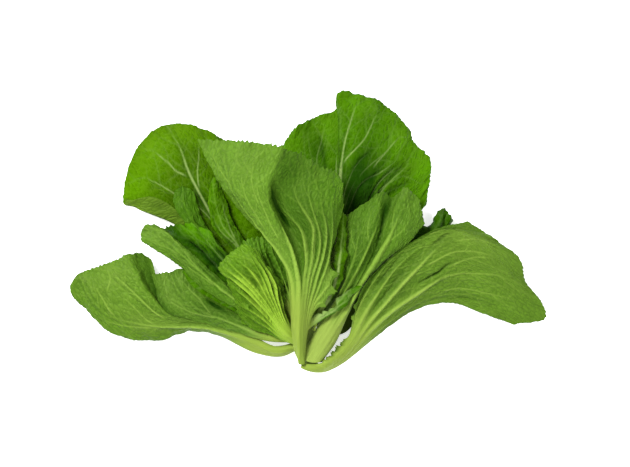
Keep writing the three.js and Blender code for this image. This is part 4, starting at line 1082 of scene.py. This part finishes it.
def draw_vein(veins, path, strength, fineness):
    """Draws one of a leaf's smaller veins, which tapers all the way. Returns its rows and columns."""
    share, rows, columns = veins.sheet.follow(path, 2)
    left = 1 - 0.75 * np.linspace(0, 1, len(share))
    begun = smoothstep(share, share[0], share[0] + 0.03)
    ended = 1 - smoothstep(left, 0.5, 0.25)
    pale = min(1.0, strength**0.5) * begun * ended * (0.35 + 0.65 * left)
    width, pale_width = 0.5 + 0.7 * strength * left, 0.5 + 0.75 * strength * left * fineness
    veins.draw(rows, columns, 0.8 * strength * begun * left, width, pale, pale_width)
    return rows, columns


def grow_veins(sheet, spec, sizes, rng):
    """Draws a leaf's ribs and veins, and grows finer ones. Also returns the arch and gap between its ribs."""
    veins = Veins(sheet)
    ribs = [wandering(rib[0], rng) for rib in spec["ribs"]]
    any_depth = [0.5, *rng.uniform(0.35, 1.15, len(ribs) - 1), 0.5]
    arch, gap = between_ribs(sheet, ribs, np.array(spec.get("gaps", any_depth)))
    rise, fall = spec.get("reach", (0.14, 0.75))
    fineness, faint = (1.0, 1.0) if spec["side"] == BACK_UP else (FACE_FINENESS, FACE_FAINTNESS)
    parents = []
    for path, (_, strength, *fades) in zip(ribs, spec["ribs"]):
        fade_at = fades[0] if fades else fall + rng.uniform(-0.12, 0.12)
        parents.append(draw_rib(veins, path, strength, fade_at, rise, gap, sizes, fineness))
    veins.rib_room = veins.room.copy()
    for path, strength in spec.get("veins", ()):
        parents.append(draw_vein(veins, wandering(path, rng), strength, fineness))
    first_share = 0.8 * spec["blade"]
    sides = veins.grow(parents, rng, first_share, faint, **SIDE_VEINS)
    veins.grow(parents + sides, rng, first_share, faint, **NET_VEINS)
    return veins, arch, gap


def fold_blade(sheet, spec, veins, arch, gap):
    """How deep the blade's folds between ribs are, how deep its pleats are, and the shade painted into both.
    """
    fold = np.minimum(spec["flute"], 0.32 * gap)
    fold = fold * smoothstep(sheet.share, *spec.get("folds_from", (0.2, 0.46)))
    fold *= 1 - 0.85 * smoothstep(sheet.share, *spec.get("folds", (0.5, 0.85)))
    # Painted shade: darker deep in the arches between ribs, in a band beside each rib and along the pleats.
    fold_shade = 0.6 * arch * fold / spec["flute"]
    near_rib = np.exp(-((veins.rib_room / 4.5) ** 2))
    beside = np.exp(-(((veins.rib_room - 2.6) / 1.5) ** 2)) * near_rib
    fold_shade = np.maximum(fold_shade, 0.45 * beside * smoothstep(sheet.share, 0.3, 0.5))
    crease = np.zeros_like(fold_shade)
    for path, depth, reach in spec.get("creases", ()):
        near = valley(sheet, path, reach)
        crease += depth * near
        fold_shade = np.maximum(fold_shade, min(1.0, 0.5 * depth) * near)
    return arch * fold, crease, fold_shade


def waves(sheet, spec, sizes, blade, seed):
    """The blade's slow unevenness, and the ruffles of its margins."""
    wrinkle = 1.3 * noise(sheet.r, sheet.s, 26.0, seed + 3) + 0.16 * noise(sheet.r, sheet.s, 8.0, seed + 4)
    wrinkle -= 0.45 * np.abs(noise(sheet.r, sheet.s, 13.0, seed + 13)) * smoothstep(sheet.share, 0.3, 0.6)
    wrinkle *= spec.get("wrinkles", 1.0)
    wave = ruffle(sheet.s, sheet.out, seed + 5)
    wave += 0.5 * blade * (ruffle(sheet.r, sheet.left, seed + 7) + ruffle(sheet.r, sheet.right, seed + 9))
    return blade * wrinkle + spec.get("frill", 1.0) * sizes.ruffle_height / MM * wave


def thickness_of(sheet, spec, sizes):
    """A stalk is thickest along its middle, and a blade thins towards its margins."""
    full = sizes.blade_thickness / MM
    across = 2 * sheet.left / sheet.left[:, -1:] - 1
    crown = STALK_EDGE + (1 - STALK_EDGE) * np.sqrt(np.clip(1 - across**2, 0, 1))
    fade = 1 - smoothstep(sheet.share, 0.25 * spec["blade"], spec["blade"])
    margin = np.minimum(sheet.out, np.minimum(sheet.left, sheet.right))
    thin = MARGIN_EDGE + (1 - MARGIN_EDGE) * smoothstep(margin, 0, MARGIN_TAPER)
    return full * thin + (spec["stalk"] - full) * fade * crown


def lay_surfaces(sheet, side, push, thickness, ridge):
    """A leaf's upper and lower surface, lifted to lie on the pile."""
    groove = np.minimum(0.4 * ridge, 0.3 * thickness)
    back = side * sheet.normal
    middle = sheet.points + back * push[..., None]
    back_surface = middle + back * (thickness / 2 + ridge)[..., None]
    face_surface = middle - back * (thickness / 2 - groove)[..., None]
    upper, lower = (back_surface, face_surface) if side == BACK_UP else (face_surface, back_surface)
    lift = settle(sheet, np.where((upper[..., 2] < lower[..., 2])[..., None], upper, lower))
    upper[..., 2] += lift
    lower[..., 2] += lift
    return upper, lower


def shape_leaf(spec, sizes, seed):
    """Grows one leaf and settles it on the pile. Returns its two surfaces and what its material reads."""
    sheet = Sheet(spec["lines"], spec["step"])
    cut_margins(sheet, spec, sizes, seed)
    veins, arch, gap = grow_veins(sheet, spec, sizes, np.random.RandomState(seed))
    fold, crease, fold_shade = fold_blade(sheet, spec, veins, arch, gap)
    blade = smoothstep(sheet.share, 0.55 * spec["blade"], 1.15 * spec["blade"])
    cushion = sizes.pucker_height / MM * blade * (1 - np.exp(-((veins.room / 4.0) ** 2)))
    cushion *= spec.get("pucker", 1.0)
    push = waves(sheet, spec, sizes, blade, seed) - fold - cushion
    push -= spec["side"] * crease
    upper, lower = lay_surfaces(sheet, spec["side"], push, thickness_of(sheet, spec, sizes), veins.ridge)

    stalk = 1 - smoothstep(sheet.share, 0.35 * spec["blade"], 0.95 * spec["blade"])
    # Painted light and shade, with some of the leaf's own tone: from its list along the lines and its
    # patches.
    tone = np.interp(sheet.numbers, *zip(*spec.get("tone", NO_TONE_OR_SHADING))) * np.ones_like(fold_shade)
    tone += spots(sheet, spec.get("patches", ()))
    reads = {
        # The stalk's paleness is dimmed by the shade painted into its folds.
        "pale": np.clip(np.maximum(veins.pale, stalk * (1 - 0.5 * fold_shade)), 0, 1),
        "stalk": stalk,
        "fold_shade": np.clip(fold_shade, 0, 1),
        "tone": np.clip(tone, -0.9, 0.9),
        "fresh": np.clip(spots(sheet, spec.get("fresh", ())), 0, 1),
        "flat": np.stack([sheet.r, sheet.s, np.full_like(sheet.r, 37.0 * seed)], axis=-1),
    }
    return upper, lower, reads


def shell(upper, lower, side, reads):
    """The vertices, polygons and vertex values of a closed leaf. Its lower surface is half as fine."""
    coarse = (slice(None, None, 2), slice(None, None, 2))
    top, bottom = (np.arange(grid[..., 0].size).reshape(grid.shape[:2]) for grid in (upper, upper[coarse]))
    bottom = bottom + top.size
    vertices = np.concatenate([upper.reshape(-1, 3), lower[coarse].reshape(-1, 3)])

    def polygons(*corners):
        return np.stack(corners, axis=-1).reshape(-1, len(corners))

    fours = [
        polygons(top[:-1, :-1], top[:-1, 1:], top[1:, 1:], top[1:, :-1]),
        polygons(bottom[:-1, :-1], bottom[1:, :-1], bottom[1:, 1:], bottom[:-1, 1:]),
    ]
    fives = []
    for line, low, turned in (
        (top[:, 0], bottom[:, 0], False),
        (top[:, -1], bottom[:, -1], True),
        (top[0], bottom[0], True),
        (top[-1], bottom[-1], False),
    ):
        corners = [line[:-2:2], line[1:-1:2], line[2::2], low[1:], low[:-1]]
        fives.append(polygons(*(corners[::-1] if turned else corners)))
    shown = {}
    for name, values in reads.items():
        flat = (-1,) + values.shape[2:]
        shown[name] = np.concatenate([values.reshape(flat), values[coarse].reshape(flat)])
    shown["back"] = np.repeat([float(side == BACK_UP), float(side == FACE_UP)], [top.size, bottom.size])
    return vertices, np.concatenate(fours), np.concatenate(fives), shown


def joined(shells):
    """Several shells as one mesh's data."""
    starts = np.cumsum([0] + [len(vertices) for vertices, *_ in shells])
    vertices = np.concatenate([one[0] for one in shells])
    fours, fives = (
        np.concatenate([one[kind] + start for one, start in zip(shells, starts)]) for kind in (1, 2)
    )
    values = {name: np.concatenate([one[3][name] for one in shells]) for name in shells[0][3]}
    return vertices, fours, fives, values


def leaf_object(name, shells):
    vertices, fours, fives, shown = joined(shells)
    mesh = bpy.data.meshes.new(name)
    mesh.vertices.add(len(vertices))
    mesh.vertices.foreach_set("co", (vertices * MM).astype(np.float32).ravel())
    mesh.loops.add(fours.size + fives.size)
    mesh.loops.foreach_set("vertex_index", np.concatenate([fours.ravel(), fives.ravel()]).astype(np.int32))
    mesh.polygons.add(len(fours) + len(fives))
    starts = np.concatenate([4 * np.arange(len(fours)), fours.size + 5 * np.arange(len(fives))])
    mesh.polygons.foreach_set("loop_start", starts.astype(np.int32))
    mesh.update(calc_edges=True)
    if mesh.validate():
        raise RuntimeError(f"{name} has faults in its mesh")
    mesh.polygons.foreach_set("use_smooth", np.arange(len(mesh.polygons)) < len(fours))
    for key, values in shown.items():
        kind, field = ("FLOAT", "value") if values.ndim == 1 else ("FLOAT_VECTOR", "vector")
        attribute = mesh.attributes.new(key, kind, "POINT")
        attribute.data.foreach_set(field, values.astype(np.float32).ravel())
    piece = bpy.data.objects.new(name, mesh)
    bpy.context.scene.collection.objects.link(piece)
    return piece


def new_material(name):
    material = bpy.data.materials.new(name)
    material.use_nodes = True
    return material


def add_node(tree, kind, inputs=None, **choices):
    node = tree.nodes.new(kind)
    for key, value in choices.items():
        setattr(node, key, value)
    for key, value in (inputs or {}).items():
        if isinstance(value, bpy.types.NodeSocket):
            tree.links.new(value, node.inputs[key])
        else:
            node.inputs[key].default_value = value
    return node


def blend_colours(tree, share, a, b, how="MIX"):
    inputs = {0: share, 6: a, 7: b}
    return add_node(tree, "ShaderNodeMix", inputs, data_type="RGBA", blend_type=how).outputs[2]


def calculate(tree, operation, a, b=0.0):
    return add_node(tree, "ShaderNodeMath", {0: a, 1: b}, operation=operation).outputs[0]


def multiply(tree, a, b):
    return calculate(tree, "MULTIPLY", a, b)


def stretch(tree, value, low, high, to_low=0.0, to_high=1.0):
    inputs = {"Value": value, "From Min": low, "From Max": high, "To Min": to_low, "To Max": to_high}
    return add_node(tree, "ShaderNodeMapRange", inputs, clamp=True).outputs[0]


def attribute_of(tree, name, output="Fac"):
    return add_node(tree, "ShaderNodeAttribute", attribute_name=name).outputs[output]


def combine(tree, operation, a, b):
    """What a vector operation makes of a and b."""
    return add_node(tree, "ShaderNodeVectorMath", {0: a, 1: b}, operation=operation).outputs[0]


def uneven(tree, vector, scale, detail=2.0, roughness=0.5):
    inputs = {"Vector": vector, "Scale": scale, "Detail": detail, "Roughness": roughness}
    return add_node(tree, "ShaderNodeTexNoise", inputs).outputs[0]


def bumps(tree, height, distance, strength):
    inputs = {"Strength": strength, "Distance": distance, "Height": height}
    return add_node(tree, "ShaderNodeBump", inputs).outputs[0]


def times(colour, tint, factor=1.0):
    return tuple(min(1.0, c * t * factor) for c, t in zip(colour[:3], tint)) + (1.0,)


def veinlets(tree, flat):
    """A net of fine veins, 1 on them, and the cushions between them, 1 on top."""
    wander = combine(tree, "MULTIPLY", uneven(tree, flat, 0.25), (2.0, 2.0, 0.0))
    bent = combine(tree, "MULTIPLY", combine(tree, "ADD", flat, wander), (0.6, 1.0, 1.0))
    inputs = {"Vector": bent, "Scale": 0.25}
    cells = add_node(tree, "ShaderNodeTexVoronoi", inputs, feature="DISTANCE_TO_EDGE").outputs["Distance"]
    rounded = {"clamp": True, "interpolation_type": "SMOOTHSTEP"}
    cushion = add_node(tree, "ShaderNodeMapRange", {"Value": cells, "From Max": 0.4}, **rounded).outputs[0]
    return stretch(tree, cells, 0.0, 0.12, 1.0, 0.0), cushion


def leaf_material(name, colours, tint, stalk_tint):
    """Leaf tissue: a glossier face and a matt paler back, pale ribs, fine veinlets and a fibrous stalk,
    with painted shade in its folds and creases, and painted light and shade in patches.
    """
    material = new_material(name)
    tree = material.node_tree
    tree.nodes.clear()
    flat = attribute_of(tree, "flat", "Vector")
    pale, back, stalk = (attribute_of(tree, key) for key in ("pale", "back", "stalk"))
    fold_shade, tone, fresh = (attribute_of(tree, key) for key in ("fold_shade", "tone", "fresh"))
    # deep is the green that painted shade darkens the blade towards.
    deep, lit = times(colours.shade_green, tint), times(colours.rib_green, tint)

    blotch = stretch(tree, uneven(tree, flat, 0.035, 3.0), 0.3, 0.7)
    mottle = stretch(tree, uneven(tree, flat, 0.4, 3.0, 0.6), 0.3, 0.7)
    lengthwise = combine(tree, "MULTIPLY", flat, (0.03, 1.6, 1.0))
    fibres = stretch(tree, uneven(tree, lengthwise, 1.0, 3.0, 0.6), 0.3, 0.7)
    veinlet, cushion = veinlets(tree, flat)

    face, under = (
        blend_colours(tree, blotch, times(green, tint, darker), times(green, tint, lighter))
        for green, darker, lighter in ((colours.face_green, 0.8, 1.2), (colours.back_green, 0.88, 1.1))
    )
    green = blend_colours(tree, back, face, under)
    green = blend_colours(tree, fresh, green, times(colours.fresh_green, tint))
    green = blend_colours(tree, 1.0, green, stretch(tree, mottle, 0.0, 1.0, 0.93, 1.07), "MULTIPLY")
    # Fine veins: paler on a leaf's face; on its back, painted shade in the grooves between the cushions.
    netted = multiply(tree, veinlet, stretch(tree, back, 0.0, 1.0, 0.08, 0.34))
    green = blend_colours(tree, netted, green, blend_colours(tree, back, lit, deep))
    # Painted shade: folds, pleats and the bands beside the ribs are darkened towards the shade green.
    green = blend_colours(tree, multiply(tree, fold_shade, 0.9), green, deep)
    # Painted light and shade: lifted towards a paler green above 0, darkened towards the shade green below.
    light = calculate(tree, "MAXIMUM", tone, 0.0)
    dark = calculate(tree, "MAXIMUM", multiply(tree, tone, -1.0), 0.0)
    bright = blend_colours(tree, back, times(colours.face_green, tint, 2.0), lit)
    green = blend_colours(tree, light, green, bright)
    green = blend_colours(tree, dark, green, deep)
    fibre_colours = (times(colours.stalk_green, stalk_tint, factor) for factor in (0.85, 1.1))
    rib = blend_colours(tree, fibres, *fibre_colours)
    vein = blend_colours(tree, back, (*colours.face_vein, 1.0), lit)
    thin = blend_colours(tree, stalk, vein, rib)
    # Painted shade darkens the pale ribs, veins and stalk as well.
    thin = blend_colours(tree, multiply(tree, dark, 0.85), thin, deep)
    colour = blend_colours(tree, pale, green, thin)

    relief = multiply(tree, cushion, calculate(tree, "SUBTRACT", 1.0, stalk))
    relief = calculate(tree, "ADD", relief, multiply(tree, mottle, 0.15))
    relief = calculate(tree, "ADD", relief, multiply(tree, multiply(tree, fibres, stalk), 0.4))
    bump = bumps(tree, relief, 0.6 * MM, 1.0)
    sheen = blend_colours(tree, back, FACE_SHEEN, BACK_SHEEN)
    # Painted shade on the gloss: the sheen's tint fades where shade is painted.
    shaded_sheen = stretch(tree, dark, 0.0, 0.6, 1.0, 0.15)
    inputs = {
        "Base Color": colour,
        "Roughness": stretch(tree, mottle, 0.0, 1.0, 0.42, 0.56),
        "Specular IOR Level": 0.16,
        "Specular Tint": blend_colours(tree, 1.0, sheen, shaded_sheen, "MULTIPLY"),
        "Normal": bump,
    }
    surface = add_node(tree, "ShaderNodeBsdfPrincipled", inputs).outputs[0]
    glow = blend_colours(tree, 1.0, colour, THROUGH_TINT, "MULTIPLY")
    through = add_node(tree, "ShaderNodeBsdfTranslucent", {"Color": glow, "Normal": bump}).outputs[0]
    both = add_node(tree, "ShaderNodeMixShader", {0: LIGHT_THROUGH, 1: surface, 2: through}).outputs[0]
    add_node(tree, "ShaderNodeOutputMaterial", {"Surface": both})
    return material


def stem_material(colours, centre):
    """Pale stem: fibres along it, rings of pith and wood on the cut, browner at the cut's rim."""
    material = new_material("stem_tissue")
    tree = material.node_tree
    tree.nodes.clear()
    where = add_node(tree, "ShaderNodeTexCoord").outputs["Object"]
    local = combine(tree, "SUBTRACT", where, tuple(centre))
    radial = combine(tree, "MULTIPLY", local, (1.0, 0.0, 1.0))
    across = add_node(tree, "ShaderNodeVectorMath", {0: radial}, operation="LENGTH").outputs["Value"]
    lengthwise = combine(tree, "MULTIPLY", local, (900.0, 60.0, 900.0))
    fibres = stretch(tree, uneven(tree, lengthwise, 1.0, 4.0, 0.6), 0.3, 0.7)
    skin_colours = (times(colours.stalk_green, (1.0, 1.0, 1.0), factor) for factor in (0.8, 1.15))
    skin = blend_colours(tree, fibres, *skin_colours)
    ring = stretch(tree, calculate(tree, "SINE", multiply(tree, across, 2600.0)), -1.0, 1.0)
    cut = blend_colours(tree, ring, WOOD, PITH)
    cut = blend_colours(tree, stretch(tree, across, 6.8 * MM, 8.4 * MM), cut, CUT_RIM)
    inwards = add_node(tree, "ShaderNodeSeparateXYZ", {0: local}).outputs[1]
    at_cut = stretch(tree, inwards, 0.3 * MM, 1.2 * MM, 1.0, 0.0)
    inputs = {
        "Base Color": blend_colours(tree, at_cut, skin, cut),
        "Roughness": stretch(tree, fibres, 0.0, 1.0, 0.45, 0.6),
        "Normal": bumps(tree, fibres, 0.4 * MM, 0.5),
    }
    surface = add_node(tree, "ShaderNodeBsdfPrincipled", inputs).outputs[0]
    add_node(tree, "ShaderNodeOutputMaterial", {"Surface": surface})
    return material


def place(piece, node):
    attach(piece, "root")
    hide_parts(node)


def lay_leaves(context, names):
    """Grows the named leaves in order and lays them on the pile."""
    sizes = context.scene.greens_sizes
    colours = context.scene.greens_colours
    for name in names:
        spec = LEAVES[name]
        seed = 11 * list(LEAVES).index(name) + 5
        shells, laid = [], []
        parts = [spec]
        if "lobe" in spec:
            parts.insert(0, {**spec, "tone": NO_TONE_OR_SHADING, **spec["lobe"]})
        for part, extra in zip(parts, (0, LOBE_SEED)):
            upper, lower, reads = shape_leaf(part, sizes, seed + extra)
            shells.append(shell(upper, lower, part["side"], reads))
            laid += [upper, lower]
        for surface in laid:
            PILE.lay(surface)
        piece = leaf_object(f"{name}_surface", shells)
        stalk_tint = spec.get("stalk_tint", (1, 1, 1))
        piece.data.materials.append(leaf_material(f"{name}_tissue", colours, spec["tint"], stalk_tint))
        place(piece, name)


class GreensSizes(bpy.types.PropertyGroup):
    blade_thickness: bpy.props.FloatProperty(
        name="Blade thickness", description="Thickness of the thin green blade",
        default=0.55 * MM, min=0.3 * MM, max=1.5 * MM, **LENGTH,
    )
    rib_height: bpy.props.FloatProperty(
        name="Rib height", description="How far the main ribs stand out of the leaf's back",
        default=1.7 * MM, min=0.0, max=4 * MM, **LENGTH,
    )
    pucker_height: bpy.props.FloatProperty(
        name="Pucker height", description="How far the blade bulges between its veins",
        default=0.8 * MM, min=0.0, max=3 * MM, **LENGTH,
    )
    tooth_length: bpy.props.FloatProperty(
        name="Tooth length", description="Length of the teeth along the blade's margin",
        default=1.5 * MM, min=0.0, max=5 * MM, **LENGTH,
    )
    ruffle_height: bpy.props.FloatProperty(
        name="Ruffle height", description="How far the blade's margin waves up and down",
        default=1.3 * MM, min=0.0, max=6 * MM, **LENGTH,
    )


class GreensColours(bpy.types.PropertyGroup):
    face_green: bpy.props.FloatVectorProperty(
        name="Leaf face", description="Colour of the blade's upper face",
        default=(0.035, 0.118, 0.0), **COLOUR,
    )
    back_green: bpy.props.FloatVectorProperty(
        name="Leaf back", description="Colour of the blade's paler back",
        default=(0.073, 0.165, 0.011), **COLOUR,
    )
    fresh_green: bpy.props.FloatVectorProperty(
        name="Fresh growth", description="Colour of the blade where it is young and bright",
        default=(0.075, 0.2, 0.004), **COLOUR,
    )
    # The green that painted shade darkens towards, in folds, creases, shaded patches and a back's net.
    shade_green: bpy.props.FloatVectorProperty(
        name="Furrows", description="Colour deep in the folds between the ribs",
        default=(0.006, 0.034, 0.001), **COLOUR,
    )
    rib_green: bpy.props.FloatVectorProperty(
        name="Ribs", description="Colour of the ribs and veins out in the blade",
        default=(0.185, 0.31, 0.043), **COLOUR,
    )
    face_vein: bpy.props.FloatVectorProperty(
        name="Face veins", description="Colour of the pale veins on the blade's upper face",
        default=(0.26, 0.36, 0.11), **COLOUR,
    )
    stalk_green: bpy.props.FloatVectorProperty(
        name="Stalks", description="Colour of the stalks near the stem",
        default=(0.215, 0.305, 0.041), **COLOUR,
    )
    floor_white: bpy.props.FloatVectorProperty(
        name="Floor", description="Colour of the studio floor",
        default=(0.95, 0.95, 0.95), **COLOUR,
    )
    lamp_power: bpy.props.FloatProperty(
        name="Lamp power", description="Power of the large soft lamp",
        default=100.0, min=0.0, max=1000.0, unit="POWER",
    )


class GREENS_OT_stem(bpy.types.Operator):
    """Turns the short stem, with its cut end and the ledges where older leaves came away"""

    bl_idname = "greens.stem"
    bl_label = "Stem"

    def execute(self, context):
        if "stem_base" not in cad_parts:
            raise RuntimeError("the frame has no stem_base to stand in for")
        low, high = STEM_LOW, STEM_HIGH
        radius, length = (high[0] - low[0]) / 2, high[1] - low[1]
        centre = np.array([(low[0] + high[0]) / 2, low[1], (low[2] + high[2]) / 2])
        vertices, faces = self.turned(centre, radius, length)
        mesh = bpy.data.meshes.new("stem_surface")
        mesh.from_pydata((vertices * MM).tolist(), [], faces)
        mesh.validate()
        mesh.polygons.foreach_set("use_smooth", np.ones(len(mesh.polygons), bool))
        piece = bpy.data.objects.new("stem_surface", mesh)
        context.scene.collection.objects.link(piece)
        mesh.materials.append(stem_material(context.scene.greens_colours, centre * MM))
        place(piece, "stem_base")
        PILE.lay(vertices[vertices[:, 1] < centre[1] + 0.95 * length])
        return {"FINISHED"}

    @staticmethod
    def turned(centre, radius, length):
        """The vertices and faces of STEM_PROFILE turned round the stem's axis, with a slight twist."""
        profile = np.column_stack([STEM_PROFILE, np.zeros(len(STEM_PROFILE))])
        knots = curve_through(profile, np.linspace(0, len(profile) - 1, STEM_RINGS))
        knots = np.clip(knots, 0.0, profile.max(axis=0))
        knots[0, 0] = knots[-1, 0] = 0.0
        turns = np.linspace(0, 2 * math.pi, STEM_SIDES + 1)[:-1]
        far, angle = np.meshgrid(knots[:, 1], turns, indexing="ij")
        wide = np.repeat(knots[:, :1], STEM_SIDES, axis=1)
        wobble = 1 - 0.03 * (1 + np.sin(5 * angle + 9 * far)) * smoothstep(wide, 0.5, 1.0)
        points = np.stack([
            centre[0] + radius * wide * wobble * np.cos(angle),
            centre[1] + length * far,
            centre[2] + radius * wide * wobble * np.sin(angle),
        ], axis=-1)
        rings = points[1:-1].reshape(-1, 3)
        ring = np.arange(len(rings)).reshape(-1, STEM_SIDES)
        ahead = np.roll(ring, -1, axis=1)
        faces = np.stack([ring[:-1], ring[1:], ahead[1:], ahead[:-1]], axis=-1).reshape(-1, 4).tolist()
        first, last = len(rings), len(rings) + 1
        for k in range(STEM_SIDES):
            faces.append((ring[0, k], ahead[0, k], first))
            faces.append((ahead[-1, k], ring[-1, k], last))
        return np.concatenate([rings, points[:1, 0], points[-1:, 0]]), faces


class GREENS_OT_back_leaves(bpy.types.Operator):
    """Lays the big broad leaves at the back of the head, and the one beside them, tinted dark as painted
    shade
    """

    bl_idname = "greens.back_leaves"
    bl_label = "Back leaves"

    def execute(self, context):
        lay_leaves(context, ["back_left_leaf", "back_right_leaf", "dark_right_leaf"])
        return {"FINISHED"}


class GREENS_OT_inner_leaves(bpy.types.Operator):
    """Lays the narrow and crinkled leaves that show between the large ones"""

    bl_idname = "greens.inner_leaves"
    bl_label = "Inner leaves"

    def execute(self, context):
        lay_leaves(context, ["narrow_leaf", "inner_left_leaf", "crinkled_leaf"])
        return {"FINISHED"}


class GREENS_OT_left_leaves(bpy.types.Operator):
    """Lays the leaves that fan out to the left, and the wrinkled one beside them"""

    bl_idname = "greens.left_leaves"
    bl_label = "Left leaves"

    def execute(self, context):
        lay_leaves(context, ["far_left_leaf", "second_left_leaf", "long_left_leaf", "wrinkled_leaf"])
        return {"FINISHED"}


class GREENS_OT_right_leaves(bpy.types.Operator):
    """Lays the leaf with the thick pale stalk, the frilly one, and the long one that sweeps to the right"""

    bl_idname = "greens.right_leaves"
    bl_label = "Right leaves"

    def execute(self, context):
        lay_leaves(context, ["inner_right_leaf", "frilly_leaf", "right_leaf"])
        return {"FINISHED"}


class GREENS_OT_front_leaves(bpy.types.Operator):
    """Lays the small ribbed leaf and the big centre leaf on top of the head"""

    bl_idname = "greens.front_leaves"
    bl_label = "Front leaves"

    def execute(self, context):
        lay_leaves(context, ["small_front_leaf", "centre_leaf"])
        return {"FINISHED"}


class GREENS_OT_stage(bpy.types.Operator):
    """Sets out the pale floor, the soft lamps and the camera that looks straight down"""

    bl_idname = "greens.stage"
    bl_label = "Stage"

    def execute(self, context):
        scene = context.scene
        colours = scene.greens_colours
        self.lay_floor(scene, colours.floor_white)
        world = bpy.data.worlds.new("studio_sky")
        world.use_nodes = True
        sky = world.node_tree.nodes["Background"]
        sky.inputs["Color"].default_value = WHITE
        sky.inputs["Strength"].default_value = SKY_STRENGTH
        scene.world = world
        scene.view_settings.view_transform = "Standard"
        for name, location, width, share in LAMPS:
            lamp = bpy.data.lights.new(name, "AREA")
            lamp.shape = "DISK"
            lamp.size = width
            lamp.energy = share * colours.lamp_power
            lit = bpy.data.objects.new(name, lamp)
            lit.location = location
            lit.rotation_euler = (-Vector(location)).to_track_quat("-Z", "Y").to_euler()
            scene.collection.objects.link(lit)
        lens = bpy.data.cameras.new("camera")
        lens.sensor_width = 36.0
        lens.lens = lens.sensor_width * CAMERA_HEIGHT / VIEW_WIDTH
        lens.clip_end = 50.0
        camera = bpy.data.objects.new("camera", lens)
        camera.location = (*VIEW_CENTRE, CAMERA_HEIGHT)
        scene.collection.objects.link(camera)
        scene.camera = camera
        return {"FINISHED"}

    @staticmethod
    def lay_floor(scene, white):
        mesh = bpy.data.meshes.new("studio_floor")
        corners = [(FLOOR_REACH * x, FLOOR_REACH * y, 0) for x, y in ((-1, -1), (1, -1), (1, 1), (-1, 1))]
        mesh.from_pydata(corners, [], [(0, 1, 2, 3)])
        floor = bpy.data.objects.new("studio_floor", mesh)
        scene.collection.objects.link(floor)
        material = new_material("floor_paint")
        surface = material.node_tree.nodes["Principled BSDF"]
        surface.inputs["Base Color"].default_value = (*white, 1.0)
        surface.inputs["Emission Color"].default_value = WHITE
        surface.inputs["Emission Strength"].default_value = FLOOR_GLOW
        surface.inputs["Roughness"].default_value = 0.9
        surface.inputs["Specular IOR Level"].default_value = 0.1
        mesh.materials.append(material)


STEPS = (
    GREENS_OT_stem,
    GREENS_OT_back_leaves,
    GREENS_OT_inner_leaves,
    GREENS_OT_left_leaves,
    GREENS_OT_right_leaves,
    GREENS_OT_front_leaves,
    GREENS_OT_stage,
)


class GREENS_PT_panel(bpy.types.Panel):
    """Sizes, colours and steps of the head of greens"""

    bl_idname = "GREENS_PT_panel"
    bl_label = "Mustard greens"
    bl_space_type = "VIEW_3D"
    bl_region_type = "UI"
    bl_category = "Greens"

    def draw(self, context):
        for group in (context.scene.greens_sizes, context.scene.greens_colours):
            box = self.layout.box()
            for key in group.bl_rna.properties.keys():
                if key not in ("rna_type", "name"):
                    box.prop(group, key)
        for step in STEPS:
            self.layout.operator(step.bl_idname)


CLASSES = (GreensSizes, GreensColours, *STEPS, GREENS_PT_panel)


def register():
    for each in CLASSES:
        bpy.utils.register_class(each)
    bpy.types.Scene.greens_sizes = bpy.props.PointerProperty(type=GreensSizes)
    bpy.types.Scene.greens_colours = bpy.props.PointerProperty(type=GreensColours)


def unregister():
    del bpy.types.Scene.greens_colours
    del bpy.types.Scene.greens_sizes
    for each in reversed(CLASSES):
        bpy.utils.unregister_class(each)


def main():
    register()
    bpy.ops.greens.stem()
    bpy.ops.greens.back_leaves()
    bpy.ops.greens.inner_leaves()
    bpy.ops.greens.left_leaves()
    bpy.ops.greens.right_leaves()
    bpy.ops.greens.front_leaves()
    bpy.ops.greens.stage()
    bpy.context.view_layer.update()


if __name__ == "__main__":
    main()
